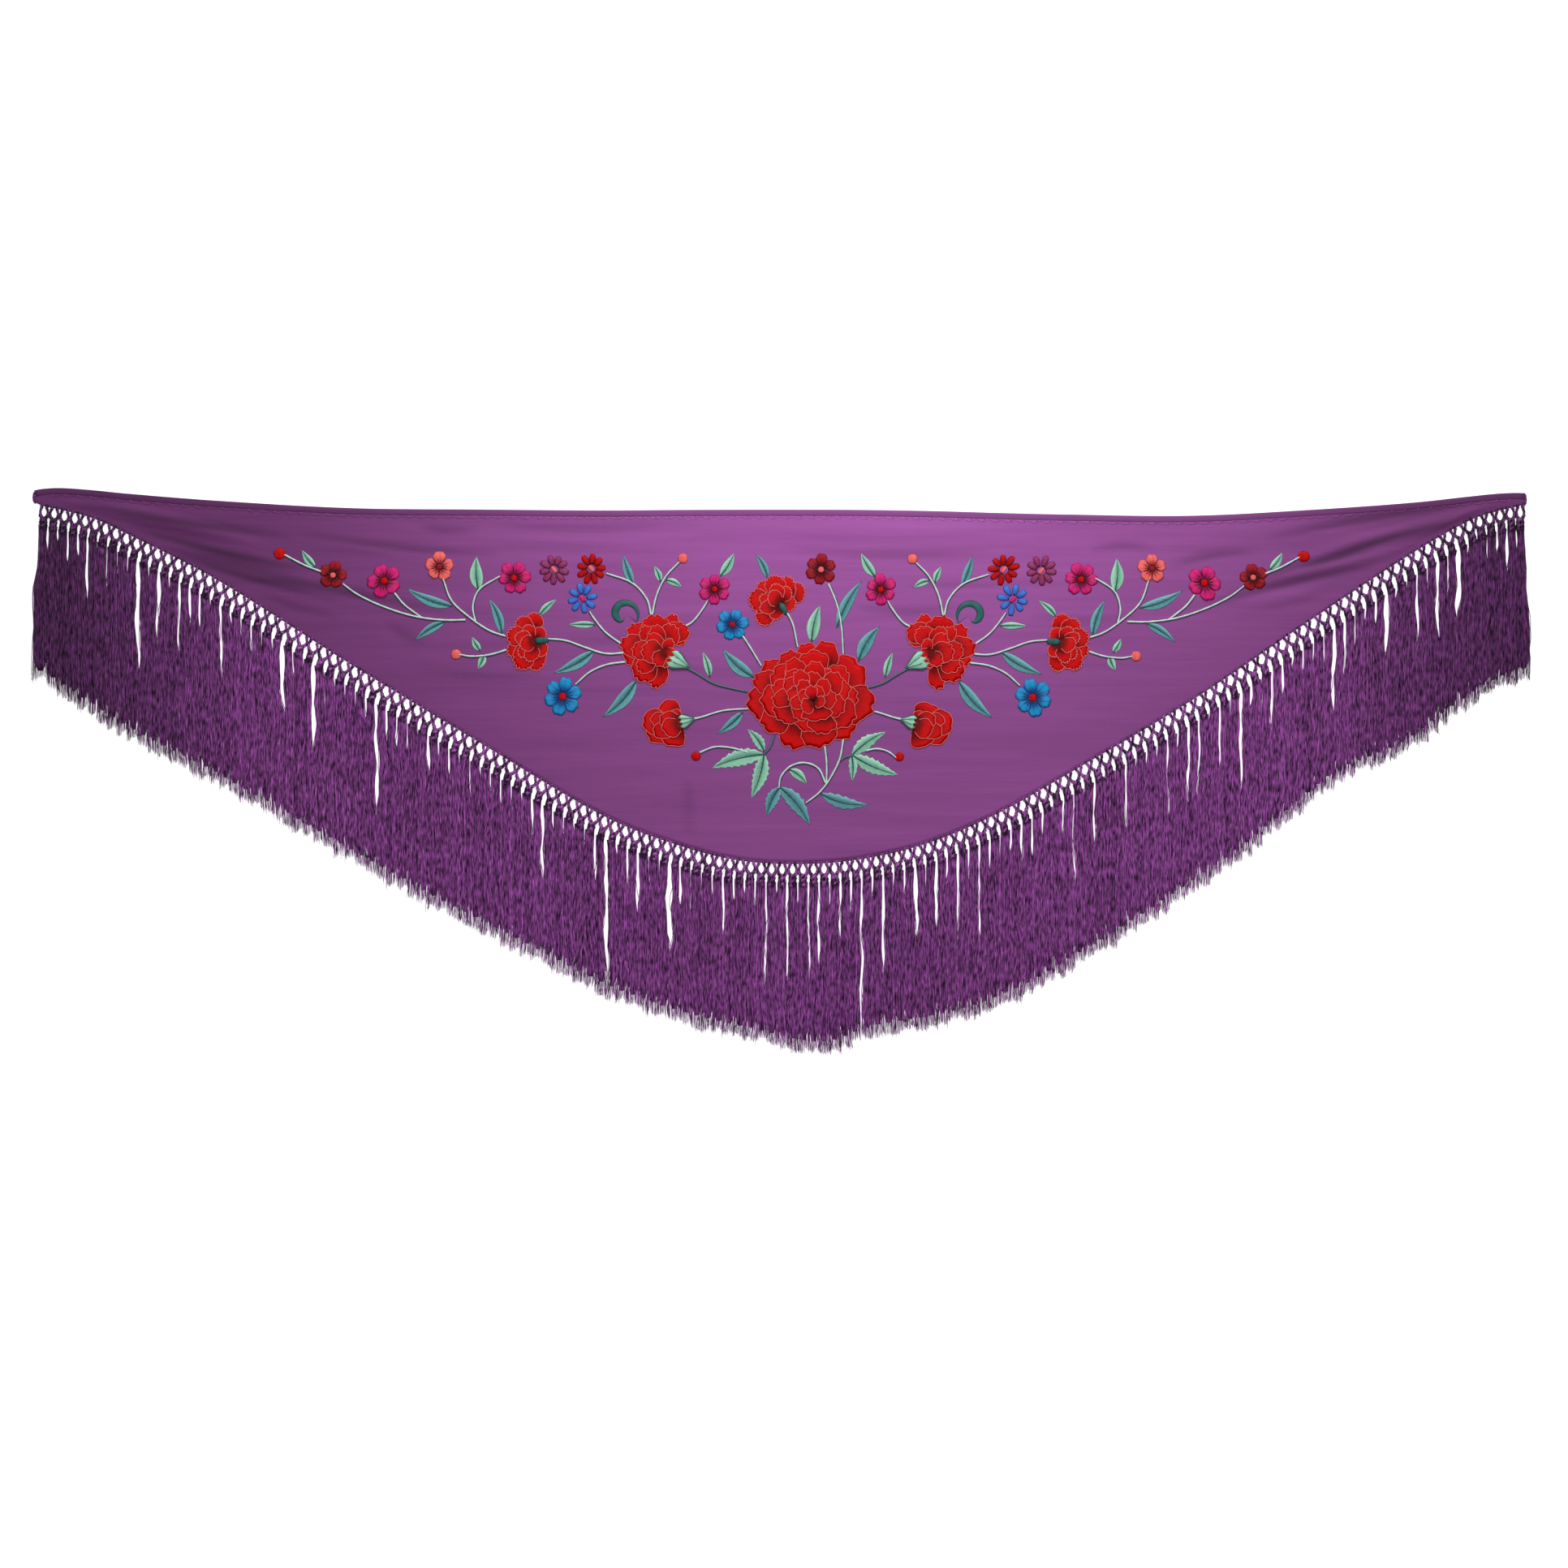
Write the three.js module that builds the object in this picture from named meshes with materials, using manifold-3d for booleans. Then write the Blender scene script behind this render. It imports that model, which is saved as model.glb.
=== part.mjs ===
// Embroidered flamenco shawl, laid flat with its fringe combed straight down.
// Millimetres, +Z up. +X runs along the long top edge and +Y points to that edge.
// The origin is on the surface that the shawl lies on, in the middle of its outline.
import * as THREE from 'three';
import Module from 'manifold-3d';

const wasm = await Module();
wasm.setup();

// Driving sizes
const SPAN = 1600; // long top edge, corner to corner
const WALL = 1.2; // crepe with its stitching, one thickness
const SEAM_GAP = 0.3; // between pieces that are sewn together
const KNOT_GAP = 0.5; // between the rolled hem and the bundles knotted on it
const HEM_WIDTH = 7; // turned hem of the long edge
const HEM_HEIGHT = 1.9; // cloth folded twice
const ROLL_WIDTH = 2.6; // rolled hem of the fringed edge
const ROLL_HEIGHT = 2.4;

const PANEL_COLUMNS = 48;
const PANEL_ROWS = 9;

const TASSELS = 143;
const FIRST_TASSEL = -788; // place of the outermost tassel's eyelet along X
const LAST_TASSEL = 793;
const FRINGE_SECTIONS = 10; // lengths of macrame heading, each its own node
const FRINGE_LIFT = 0.45; // the strands end just above the floor

const BLOOM_BASE = 1.65; // underside of the raised embroidery, just clear of the cloth
const LEAF_BASE = 1.75;
const LEAF_CROWN = 1.3;
const STEM_BASE = 1.85;
const STEM_CROWN = 1.0;
const STEM_HALF = 1.5;
const STEM_REACH = 6; // how far a stem runs in under what it joins
const SPRAY_AXIS = 19; // the two side sprays mirror about this line
const SPRAY_TIGHTENS = { from: 300, by: 0.05 }; // the right one is a little shorter at its end
const SPRAY_SINKS = 0.005; // and lies a little lower

const CLOTH_COLOUR = 0x8a4789;
const HEM_COLOUR = 0x6f3570;
const FRINGE_COLOUR = 0x5f2b60;
const THREAD_COLOUR = 0xb01020;

// The shawl's outline: the long edge and the fringed edge at each place along X.
const OUTLINE = [
  { x: -800, top: 300, low: 286 },
  { x: -770, top: 302.5, low: 279 },
  { x: -735, top: 300, low: 269.5 },
  { x: -700, top: 296.5, low: 253.5 },
  { x: -605, top: 289, low: 205 },
  { x: -460, top: 281, low: 113.5 },
  { x: -320, top: 279.5, low: 28.5 },
  { x: -190, top: 278.5, low: -48.5 },
  { x: -115, top: 279, low: -78.5 },
  { x: -45, top: 279.3, low: -96.5 },
  { x: 28, top: 279.3, low: -100.5 },
  { x: 95, top: 279, low: -94 },
  { x: 165, top: 277.8, low: -76 },
  { x: 235, top: 275.8, low: -45.5 },
  { x: 300, top: 274.3, low: -9 },
  { x: 440, top: 272.8, low: 74 },
  { x: 580, top: 279.8, low: 168.5 },
  { x: 680, top: 287, low: 234 },
  { x: 740, top: 293.5, low: 268 },
  { x: 770, top: 296.5, low: 278 },
  { x: 800, top: 297.5, low: 285 },
];

// Straight length of the fringe below the cloth.
const HANG = [
  { x: -800, length: 181 },
  { x: -735, length: 209 },
  { x: -655, length: 217 },
  { x: -500, length: 209 },
  { x: -350, length: 201 },
  { x: -230, length: 190 },
  { x: -40, length: 189 },
  { x: 45, length: 203 },
  { x: 105, length: 192 },
  { x: 240, length: 206 },
  { x: 380, length: 204 },
  { x: 520, length: 196 },
  { x: 590, length: 188 },
  { x: 660, length: 203 },
  { x: 800, length: 182 },
];

// Soft tension folds. Each is a ridge from one point to another, tapering at both ends.
const FOLDS = [
  { fromX: -775, fromY: 291, toX: -572, toY: 242, width: 14, height: 4.6 },
  { fromX: -665, fromY: 243, toX: -548, toY: 219, width: 14, height: 3.4 },
  { fromX: -610, fromY: 206, toX: -505, toY: 188, width: 14, height: 2.4 },
  { fromX: 780, fromY: 288, toX: 605, toY: 241, width: 14, height: 4.6 },
  { fromX: 715, fromY: 250, toX: 560, toY: 213, width: 14, height: 3.4 },
  { fromX: 630, fromY: 205, toX: 530, toY: 186, width: 14, height: 2.4 },
];

// Flowers of the left spray, which the right one mirrors.
const SIDE_FLOWERS = [
  { kind: 'carnation', x: -138, y: 130, halfWidth: 36, halfHeight: 40, petals: 8, notch: 0.1, crown: 2.6 },
  { kind: 'small carnation', x: -272, y: 137, halfWidth: 22, halfHeight: 31, petals: 7, notch: 0.1, crown: 2.2 },
  { kind: 'rose bud', x: -125, y: 48, halfWidth: 22, halfHeight: 22, petals: 5, notch: 0.06, crown: 2.2 },
  { kind: 'blue flower', x: -233, y: 79, halfWidth: 22, halfHeight: 22, petals: 6, notch: 0.14, crown: 1.8 },
  { kind: 'blue daisy', x: -212, y: 184, halfWidth: 17, halfHeight: 16, petals: 6, notch: 0.25, crown: 1.5 },
  { kind: 'red daisy', x: -202, y: 216, halfWidth: 18, halfHeight: 18, petals: 8, notch: 0.2, crown: 1.5 },
  { kind: 'plum daisy', x: -242, y: 215, halfWidth: 17, halfHeight: 17, petals: 8, notch: 0.2, crown: 1.5 },
  { kind: 'magenta flower', x: -70, y: 194, halfWidth: 17, halfHeight: 17, petals: 5, notch: 0.14, crown: 1.6 },
  { kind: 'magenta flower', x: -285, y: 206, halfWidth: 18, halfHeight: 18, petals: 5, notch: 0.14, crown: 1.6 },
  { kind: 'coral flower', x: -365, y: 218, halfWidth: 16, halfHeight: 16, petals: 5, notch: 0.14, crown: 1.6 },
  { kind: 'magenta flower', x: -424, y: 203, halfWidth: 20, halfHeight: 18, petals: 5, notch: 0.14, crown: 1.6 },
  { kind: 'crimson flower', x: -479, y: 209, halfWidth: 16, halfHeight: 15, petals: 5, notch: 0.14, crown: 1.6 },
  { kind: 'coral bud', x: -104, y: 227, halfWidth: 7, halfHeight: 7, petals: 3, notch: 0, crown: 1.4 },
  { kind: 'coral bud', x: -347, y: 124, halfWidth: 7, halfHeight: 7, petals: 3, notch: 0, crown: 1.4 },
  { kind: 'red bud', x: -536, y: 232, halfWidth: 7, halfHeight: 7, petals: 3, notch: 0, crown: 1.4 },
  { kind: 'red bud', x: -90, y: 15, halfWidth: 6, halfHeight: 6, petals: 3, notch: 0, crown: 1.4 },
];

const MIDDLE_FLOWERS = [
  { kind: 'peony', x: 33, y: 81, halfWidth: 70, halfHeight: 59, petals: 13, notch: 0.06, crown: 3.4 },
  { kind: 'carnation', x: -3, y: 184, halfWidth: 25, halfHeight: 30, petals: 7, notch: 0.1, crown: 2.2 },
  { kind: 'crimson flower', x: 44, y: 215, halfWidth: 17, halfHeight: 17, petals: 5, notch: 0.14, crown: 1.6 },
  { kind: 'blue flower', x: -51, y: 156, halfWidth: 19, halfHeight: 19, petals: 6, notch: 0.14, crown: 1.6 },
];

// Leaves, each from where it leaves its stem to its tip.
const SIDE_LEAVES = [
  { x: -157, y: 199, tipX: -168, tipY: 231, width: 10 },
  { x: -128, y: 202, tipX: -135, tipY: 219, width: 7 },
  { x: -122, y: 204, tipX: -105, tipY: 196, width: 7 },
  { x: -258, y: 166, tipX: -239, tipY: 183, width: 8 },
  { x: -298, y: 146, tipX: -312, tipY: 184, width: 10 },
  { x: -199, y: 128, tipX: -243, tipY: 104, width: 12 },
  { x: -198, y: 156, tipX: -227, tipY: 156, width: 8 },
  { x: -154, y: 96, tipX: -190, tipY: 57, width: 16 },
  { x: -351, y: 176, tipX: -400, tipY: 195, width: 11 },
  { x: -359, y: 159, tipX: -391, tipY: 139, width: 10 },
  { x: -323, y: 193, tipX: -325, tipY: 229, width: 12 },
  { x: -498, y: 218, tipX: -512, tipY: 236, width: 8 },
  { x: -321, y: 128, tipX: -326, tipY: 142, width: 7 },
  { x: -317, y: 124, tipX: -314, tipY: 107, width: 8 },
  { x: -75, y: 100, tipX: -83, tipY: 127, width: 9 },
  { x: -64, y: 208, tipX: -49, tipY: 233, width: 10 },
];

const MIDDLE_LEAVES = [
  { x: -28, y: 100, tipX: -61, tipY: 130, width: 13 },
  { x: 84, y: 117, tipX: 107, tipY: 154, width: 13 },
  { x: -13, y: 206, tipX: -26, tipY: 232, width: 9 },
  { x: 61, y: 153, tipX: 88, tipY: 203, width: 12 },
  { x: 34, y: 137, tipX: 43, tipY: 177, width: 12 },
  { x: -40, y: 62, tipX: -67, tipY: 39, width: 9 },
  { x: -17, y: 17, tipX: -35, tipY: 44, width: 10 },
  { x: -17, y: 17, tipX: -72, tipY: 0, width: 13 },
  { x: -17, y: 17, tipX: -30, tipY: -30, width: 13 },
  { x: 78, y: 16, tipX: 114, tipY: 42, width: 13 },
  { x: 78, y: 16, tipX: 127, tipY: -6, width: 13 },
  { x: 78, y: 16, tipX: 77, tipY: -12, width: 11 },
  { x: 14, y: 0, tipX: 29, tipY: -16, width: 9 },
  { x: 0, y: -18, tipX: -14, tipY: -50, width: 13 },
  { x: 0, y: -18, tipX: 32, tipY: -60, width: 14 },
  { x: 44, y: -25, tipX: 95, tipY: -37, width: 13 },
];

// Stems, each a run of places from the bloom that carries it to what it carries.
const SIDE_STEMS = [
  [[-138, 167], [-152, 193], [-185, 209]],
  [[-137, 168], [-127, 198], [-109, 223]],
  [[-112, 152], [-78, 183]],
  [[-171, 137], [-197, 157], [-204, 170]],
  [[-167, 126], [-199, 128], [-248, 141]],
  [[-167, 116], [-199, 110], [-219, 95]],
  [[-212, 184], [-242, 215]],
  [[-106, 114], [-36, 81]],
  [[-106, 52], [-32, 66]],
  [[-295, 141], [-327, 157], [-352, 177], [-362, 203]],
  [[-335, 161], [-377, 163], [-418, 172], [-470, 199]],
  [[-418, 195], [-383, 164]],
  [[-328, 161], [-325, 191], [-299, 206]],
  [[-490, 211], [-533, 231]],
  [[-286, 131], [-343, 124]],
  [[-155, 158], [-160, 170], [-170, 171], [-172, 163]],
];

const MIDDLE_STEMS = [
  [[-40, 144], [-18, 114]],
  [[55, 204], [55, 182], [64, 130]],
  [[8, 169], [17, 137]],
  [[48, 23], [49, -16], [28, -36]],
  [[69, 30], [49, -16]],
  [[49, -14], [25, 8], [-1, -17]],
  [[-7, 37], [-17, 18]],
  [[69, 30], [78, 16]],
  [[-84, 20], [-53, 23], [-17, 18]],
  [[78, 18], [97, 22], [124, 14]],
];

// Stations of one tassel, from the eyelet's lower rim to the cut ends.
const NECK = { drop: 13.2, half: 2.3, height: 3.0 };
const KNOT = { drop: 20.2, half: 4.2, height: 6.4 };
const WAIST = { drop: 28, half: 3.4, height: 3.9 };
const SKIRT = { fall: 80, half: 4.7, height: 4.6 };
const CUT_END = { half: 4.1, height: 2.0 };

// One eyelet of the heading, as places beside and below the cloth's edge.
const EYELET = [
  { across: -2.3, drop: 1.9 },
  { across: 2.3, drop: 1.9 },
  { across: 3.7, drop: 6.3 },
  { across: 0, drop: 10.8 },
  { across: -3.7, drop: 6.3 },
];
const EYELET_RIM_HEIGHT = 2.6;
const BUNDLE_HEIGHT = 3.6; // two half bundles side by side
const BUNDLE_SPLIT = 9.4; // where they part for their own knots

// Value of one column of a table at x, on a smooth curve through its rows.
function smooth(table, column, x) {
  let i = table.findIndex((row) => row.x >= x);
  i = i < 0 ? table.length - 1 : Math.max(i, 1);
  const slope = (a, b) => (table[b][column] - table[a][column]) / (table[b].x - table[a].x);
  const before = slope(Math.max(i - 2, 0), i);
  const after = slope(i - 1, Math.min(i + 1, table.length - 1));
  const run = table[i].x - table[i - 1].x;
  const t = THREE.MathUtils.clamp((x - table[i - 1].x) / run, 0, 1);
  const rise = table[i][column] - table[i - 1][column];
  return table[i - 1][column] + rise * t * t * (3 - 2 * t) + run * t * (1 - t) * (before * (1 - t) - after * t);
}

// Height of the cloth's underside over the floor.
function lift(x, y) {
  let height = 0;
  for (const fold of FOLDS) {
    const from = new THREE.Vector2(fold.fromX, fold.fromY);
    const run = new THREE.Vector2(fold.toX, fold.toY).sub(from);
    const point = new THREE.Vector2(x, y).sub(from);
    const along = point.dot(run) / run.lengthSq();
    const beside = Math.abs(point.cross(run)) / run.length();
    if (along > 0 && along < 1 && beside < fold.width) {
      const crest = 0.5 + 0.5 * Math.cos((Math.PI * beside) / fold.width);
      height = Math.max(height, fold.height * crest * Math.sin(Math.PI * along) ** 0.5);
    }
  }
  return height;
}

// Place along X of a column of the cloth's grid, closer together towards the corners.
const SWEEP = 0.38 * Math.PI;
function columnX(column) {
  return ((SPAN / 2) * Math.sin(SWEEP * ((2 * column) / PANEL_COLUMNS - 1))) / Math.sin(SWEEP);
}

// Y of the cloth's fringed edge at x, straight between the grid's columns.
function lowEdge(x) {
  const turn = Math.asin((x * Math.sin(SWEEP)) / (SPAN / 2));
  const column = THREE.MathUtils.clamp(Math.floor((turn / SWEEP + 1) * 0.5 * PANEL_COLUMNS), 0, PANEL_COLUMNS - 1);
  const from = columnX(column);
  const to = columnX(column + 1);
  const share = (x - from) / (to - from);
  return THREE.MathUtils.lerp(smooth(OUTLINE, 'low', from), smooth(OUTLINE, 'low', to), share);
}

// The fringed edge at x, with the ways along it, straight out of it and down its tassel.
function edgeFrame(x) {
  const step = 2;
  const rise = smooth(OUTLINE, 'low', x + step) - smooth(OUTLINE, 'low', x - step);
  const along = new THREE.Vector2(2 * step, rise).normalize();
  const out = new THREE.Vector2(along.y, -along.x);
  const down = out.clone().add(new THREE.Vector2(0, -1)).normalize();
  return { point: new THREE.Vector2(x, lowEdge(x)), along, out, down };
}

// Closed solid between an upper and a lower skin. Points are { x, y, low, high } and
// faces are triangles of their indices, counter-clockwise from above.
function plate(points, faces) {
  const count = points.length;
  const positions = [];
  for (const p of points) positions.push(p.x, p.y, p.high);
  for (const p of points) positions.push(p.x, p.y, p.low);
  const indices = [];
  const rims = new Map();
  for (const [a, b, c] of faces) {
    indices.push(a, b, c, a + count, c + count, b + count);
    for (const [from, to] of [[a, b], [b, c], [c, a]]) {
      if (!rims.delete(`${to} ${from}`)) rims.set(`${from} ${to}`, [from, to]);
    }
  }
  for (const [from, to] of rims.values()) {
    indices.push(from + count, to + count, to, from + count, to, from);
  }
  const geometry = new THREE.BufferGeometry();
  geometry.setAttribute('position', new THREE.Float32BufferAttribute(positions, 3));
  geometry.setIndex(indices);
  geometry.computeVertexNormals();
  return geometry;
}

// A plate over a grid: point(column, row) gives each point, rows running towards -Y.
function gridPlate(columns, rows, point) {
  const points = [];
  const faces = [];
  for (let i = 0; i <= columns; i++) {
    for (let j = 0; j <= rows; j++) points.push(point(i, j));
  }
  for (let i = 0; i < columns; i++) {
    for (let j = 0; j < rows; j++) {
      const a = i * (rows + 1) + j;
      const b = a + rows + 1;
      faces.push([a, a + 1, b], [b, a + 1, b + 1]);
    }
  }
  return plate(points, faces);
}

// Y of a line that runs beside the fringed edge, a distance inside it.
function insideLowEdge(x, distance) {
  return lowEdge(x) + distance / edgeFrame(x).along.x;
}

function buildPanel() {
  return gridPlate(PANEL_COLUMNS, PANEL_ROWS, (column, row) => {
    const x = columnX(column);
    const top = smooth(OUTLINE, 'top', x) - HEM_WIDTH - SEAM_GAP;
    const low = insideLowEdge(x, ROLL_WIDTH + SEAM_GAP);
    const y = THREE.MathUtils.lerp(top, low, row / PANEL_ROWS);
    const height = lift(x, y);
    return { x, y, low: height, high: height + WALL };
  });
}

function buildTopHem() {
  return gridPlate(PANEL_COLUMNS, 1, (column, row) => {
    const x = columnX(column);
    return { x, y: smooth(OUTLINE, 'top', x) - row * HEM_WIDTH, low: 0, high: HEM_HEIGHT };
  });
}

function buildRolledHem() {
  return gridPlate(PANEL_COLUMNS, 1, (column, row) => {
    const x = columnX(column);
    return { x, y: insideLowEdge(x, (1 - row) * ROLL_WIDTH), low: 0, high: ROLL_HEIGHT };
  });
}

const TASSEL_STEP = (LAST_TASSEL - FIRST_TASSEL) / (TASSELS - 1);

// A repeatable unevenness from -1 to 1 for a tassel.
function uneven(tassel, turn) {
  return Math.sin(tassel * 2.399 * turn + turn) * Math.cos(tassel * 0.73 + 5 * turn);
}

// Outline of one tassel below its eyelet: pairs of left and right points, from the neck down.
function tasselStations(tassel) {
  const x = FIRST_TASSEL + tassel * TASSEL_STEP;
  const { point, along, down } = edgeFrame(x);
  const stations = [NECK, KNOT, WAIST].map(({ drop, half, height }) => {
    const centre = point.clone().addScaledVector(down, drop);
    const twist = 0.5 * uneven(tassel, 1);
    return {
      left: { x: centre.x - half * along.x, y: centre.y - half * along.y, high: height + twist },
      right: { x: centre.x + half * along.x, y: centre.y + half * along.y, high: height - twist },
    };
  });
  const root = point.clone().addScaledVector(down, WAIST.drop);
  const endY = point.y - smooth(HANG, 'length', x) + 2.5 * uneven(tassel, 3);
  for (const [{ half, height }, y, sway] of [
    [SKIRT, root.y - SKIRT.fall, 0.25],
    [CUT_END, endY, 0.35],
  ]) {
    const centreX = root.x + sway * uneven(tassel, 2);
    const twist = 0.5 * uneven(tassel, 4);
    stations.push({
      left: { x: centreX - half, y, high: height + twist },
      right: { x: centreX + half, y, high: height - twist },
    });
  }
  return stations;
}

// One length of heading with its tassels, from one tassel up to but not including another.
// A bundle is cut down its middle at each end, where the next length begins.
function buildFringe(first, end) {
  const points = [];
  const faces = [];
  const add = ({ x, y, high }) => points.push({ x, y, low: FRINGE_LIFT, high }) - 1;
  const addBundle = (tassel) => {
    const { point, along, out, down } = edgeFrame(FIRST_TASSEL + (tassel - 0.5) * TASSEL_STEP);
    const aside = tassel === first ? SEAM_GAP / 2 : tassel === end ? -SEAM_GAP / 2 : 0;
    const top = point.clone().addScaledVector(out, KNOT_GAP).addScaledVector(along, aside);
    const split = point.clone().addScaledVector(down, BUNDLE_SPLIT).addScaledVector(along, aside);
    return {
      top: add({ x: top.x, y: top.y, high: BUNDLE_HEIGHT }),
      split: add({ x: split.x, y: split.y, high: BUNDLE_HEIGHT }),
    };
  };
  let left = addBundle(first);
  for (let tassel = first; tassel < end; tassel++) {
    const right = addBundle(tassel + 1);
    const { point, along, down } = edgeFrame(FIRST_TASSEL + tassel * TASSEL_STEP);
    const [topLeft, topRight, midRight, foot, midLeft] = EYELET.map(({ across, drop }) => {
      const at = point.clone().addScaledVector(along, across).addScaledVector(down, drop);
      return add({ x: at.x, y: at.y, high: EYELET_RIM_HEIGHT });
    });
    const stations = tasselStations(tassel).map((pair) => [add(pair.left), add(pair.right)]);
    const [neckLeft, neckRight] = stations[0];
    faces.push(
      [left.top, topRight, right.top],
      [left.top, topLeft, topRight],
      [right.top, topRight, midRight],
      [right.top, midRight, right.split],
      [right.split, midRight, foot],
      [right.split, foot, neckRight],
      [neckRight, foot, neckLeft],
      [neckLeft, foot, left.split],
      [left.split, foot, midLeft],
      [left.split, midLeft, left.top],
      [left.top, midLeft, topLeft],
    );
    for (let s = 1; s < stations.length; s++) {
      const [upLeft, upRight] = stations[s - 1];
      const [downLeft, downRight] = stations[s];
      faces.push([upLeft, downLeft, downRight], [upLeft, downRight, upRight]);
    }
    left = right;
  }
  return plate(points, faces);
}

// Place of a point of the left spray on the right one.
function mirrored([x, y]) {
  const away = SPRAY_AXIS - x;
  const tightened = away - SPRAY_TIGHTENS.by * Math.max(0, away - SPRAY_TIGHTENS.from);
  return [SPRAY_AXIS + tightened, y - SPRAY_SINKS * away];
}

function solidFrom(points, triangles) {
  return new wasm.Manifold(
    new wasm.Mesh({
      numProp: 3,
      vertProperties: new Float32Array(points.flat()),
      triVerts: new Uint32Array(triangles.flat()),
    }),
  );
}

// A low crowned pad of satin stitch. The outline is counter-clockwise and seen whole from its centre.
function pad(outline, [centreX, centreY], base, crown) {
  const points = outline.map(([x, y]) => [x, y, base]);
  const peak = points.push([centreX, centreY, base + crown]) - 1;
  const floor = points.push([centreX, centreY, base]) - 1;
  const triangles = outline.flatMap((_, i) => {
    const next = (i + 1) % outline.length;
    return [[i, next, peak], [next, i, floor]];
  });
  return solidFrom(points, triangles);
}

// A bloom's outline has one round lobe for each petal, as three points, and a dip between two.
function bloom({ x, y, halfWidth, halfHeight, petals, notch, crown }) {
  const pointsPerPetal = 3;
  const count = petals * pointsPerPetal;
  const outline = Array.from({ length: count }, (_, i) => {
    const turn = (2 * Math.PI * i) / count + Math.PI / 2;
    const reach = i % pointsPerPetal === 0 ? 1 - 2 * notch : 1;
    return [x + halfWidth * reach * Math.cos(turn), y + halfHeight * reach * Math.sin(turn)];
  });
  return pad(outline, [x, y], BLOOM_BASE, crown);
}

// A pointed oval, widest a little below its middle, rooted a little way down its stem.
function leaf([x, y], [tipX, tipY], width) {
  const run = new THREE.Vector2(tipX - x, tipY - y);
  const side = new THREE.Vector2(-run.y, run.x).normalize();
  const root = -STEM_REACH / run.length();
  const at = (along, share) => {
    const beside = (share * width) / 2;
    return [x + run.x * along + side.x * beside, y + run.y * along + side.y * beside];
  };
  const outline = [at(root, 0), at(0.25, -0.9), at(0.62, -0.85), at(1, 0), at(0.62, 0.85), at(0.25, 0.9)];
  return pad(outline, at(0.4, 0), LEAF_BASE, LEAF_CROWN);
}

// A ridge of stem stitch along a run of places, a little longer than the run at both ends.
function stem(places) {
  const way = places.map(([x, y]) => new THREE.Vector2(x, y));
  const first = way[0].clone().sub(way[1]).setLength(STEM_REACH).add(way[0]);
  const last = way.at(-1).clone().sub(way.at(-2)).setLength(STEM_REACH).add(way.at(-1));
  const line = [first, ...way.slice(1, -1), last];
  const points = line.flatMap((place, i) => {
    const run = line[Math.min(i + 1, line.length - 1)].clone().sub(line[Math.max(i - 1, 0)]).normalize();
    const side = [-run.y * STEM_HALF, run.x * STEM_HALF];
    return [
      [place.x + side[0], place.y + side[1], STEM_BASE],
      [place.x - side[0], place.y - side[1], STEM_BASE],
      [place.x, place.y, STEM_BASE + STEM_CROWN],
    ];
  });
  const triangles = [[0, 1, 2]];
  for (let i = 0; i < 3 * (line.length - 1); i += 3) {
    for (const [a, b] of [[0, 1], [1, 2], [2, 0]]) {
      triangles.push([i + a, i + 3 + b, i + b], [i + a, i + 3 + a, i + 3 + b]);
    }
  }
  const end = 3 * (line.length - 1);
  triangles.push([end + 1, end, end + 2]);
  return solidFrom(points, triangles);
}

// All the raised embroidery as one body, its blooms joined by their stems.
function buildEmbroidery() {
  const pads = MIDDLE_FLOWERS.map(bloom);
  for (const flower of SIDE_FLOWERS) {
    const [x, y] = mirrored([flower.x, flower.y]);
    pads.push(bloom(flower), bloom({ ...flower, x, y }));
  }
  for (const { x, y, tipX, tipY, width } of MIDDLE_LEAVES) pads.push(leaf([x, y], [tipX, tipY], width));
  for (const { x, y, tipX, tipY, width } of SIDE_LEAVES) {
    pads.push(leaf([x, y], [tipX, tipY], width), leaf(mirrored([x, y]), mirrored([tipX, tipY]), width));
  }
  for (const places of MIDDLE_STEMS) pads.push(stem(places));
  for (const places of SIDE_STEMS) pads.push(stem(places), stem(places.map(mirrored)));
  const whole = pads.reduce((joined, next) => joined.add(next));
  const { vertProperties, triVerts } = whole.getMesh();
  const geometry = new THREE.BufferGeometry();
  geometry.setAttribute('position', new THREE.BufferAttribute(vertProperties, 3));
  geometry.setIndex(new THREE.BufferAttribute(triVerts, 1));
  geometry.computeVertexNormals();
  return geometry;
}

function addPiece(group, name, geometry, colour, roughness) {
  const material = new THREE.MeshStandardMaterial({ color: colour, roughness, metalness: 0 });
  const mesh = new THREE.Mesh(geometry, material);
  mesh.name = name;
  group.add(mesh);
}

const shawl = new THREE.Group();
addPiece(shawl, 'panel', buildPanel(), CLOTH_COLOUR, 0.75);
addPiece(shawl, 'top_hem', buildTopHem(), HEM_COLOUR, 0.75);
addPiece(shawl, 'rolled_hem', buildRolledHem(), HEM_COLOUR, 0.7);
addPiece(shawl, 'embroidery', buildEmbroidery(), THREAD_COLOUR, 0.5);
for (let section = 0; section < FRINGE_SECTIONS; section++) {
  const first = Math.round((section * TASSELS) / FRINGE_SECTIONS);
  const end = Math.round(((section + 1) * TASSELS) / FRINGE_SECTIONS);
  const name = `fringe_${String(section + 1).padStart(2, '0')}`;
  addPiece(shawl, name, buildFringe(first, end), FRINGE_COLOUR, 0.6);
}

export default shawl;
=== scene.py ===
"""Embroidered flamenco shawl, laid flat with its knotted fringe combed straight down.

Sizes in the tables are millimetres in the shawl's own frame: +X along the long hem, +Y from the
fringe towards that hem, +Z up from the surface that it lies on. Meshes are written in metres.
"""

import logging
import math
from dataclasses import dataclass, field, replace
from enum import Enum
from typing import Callable, Iterable, Sequence

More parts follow.
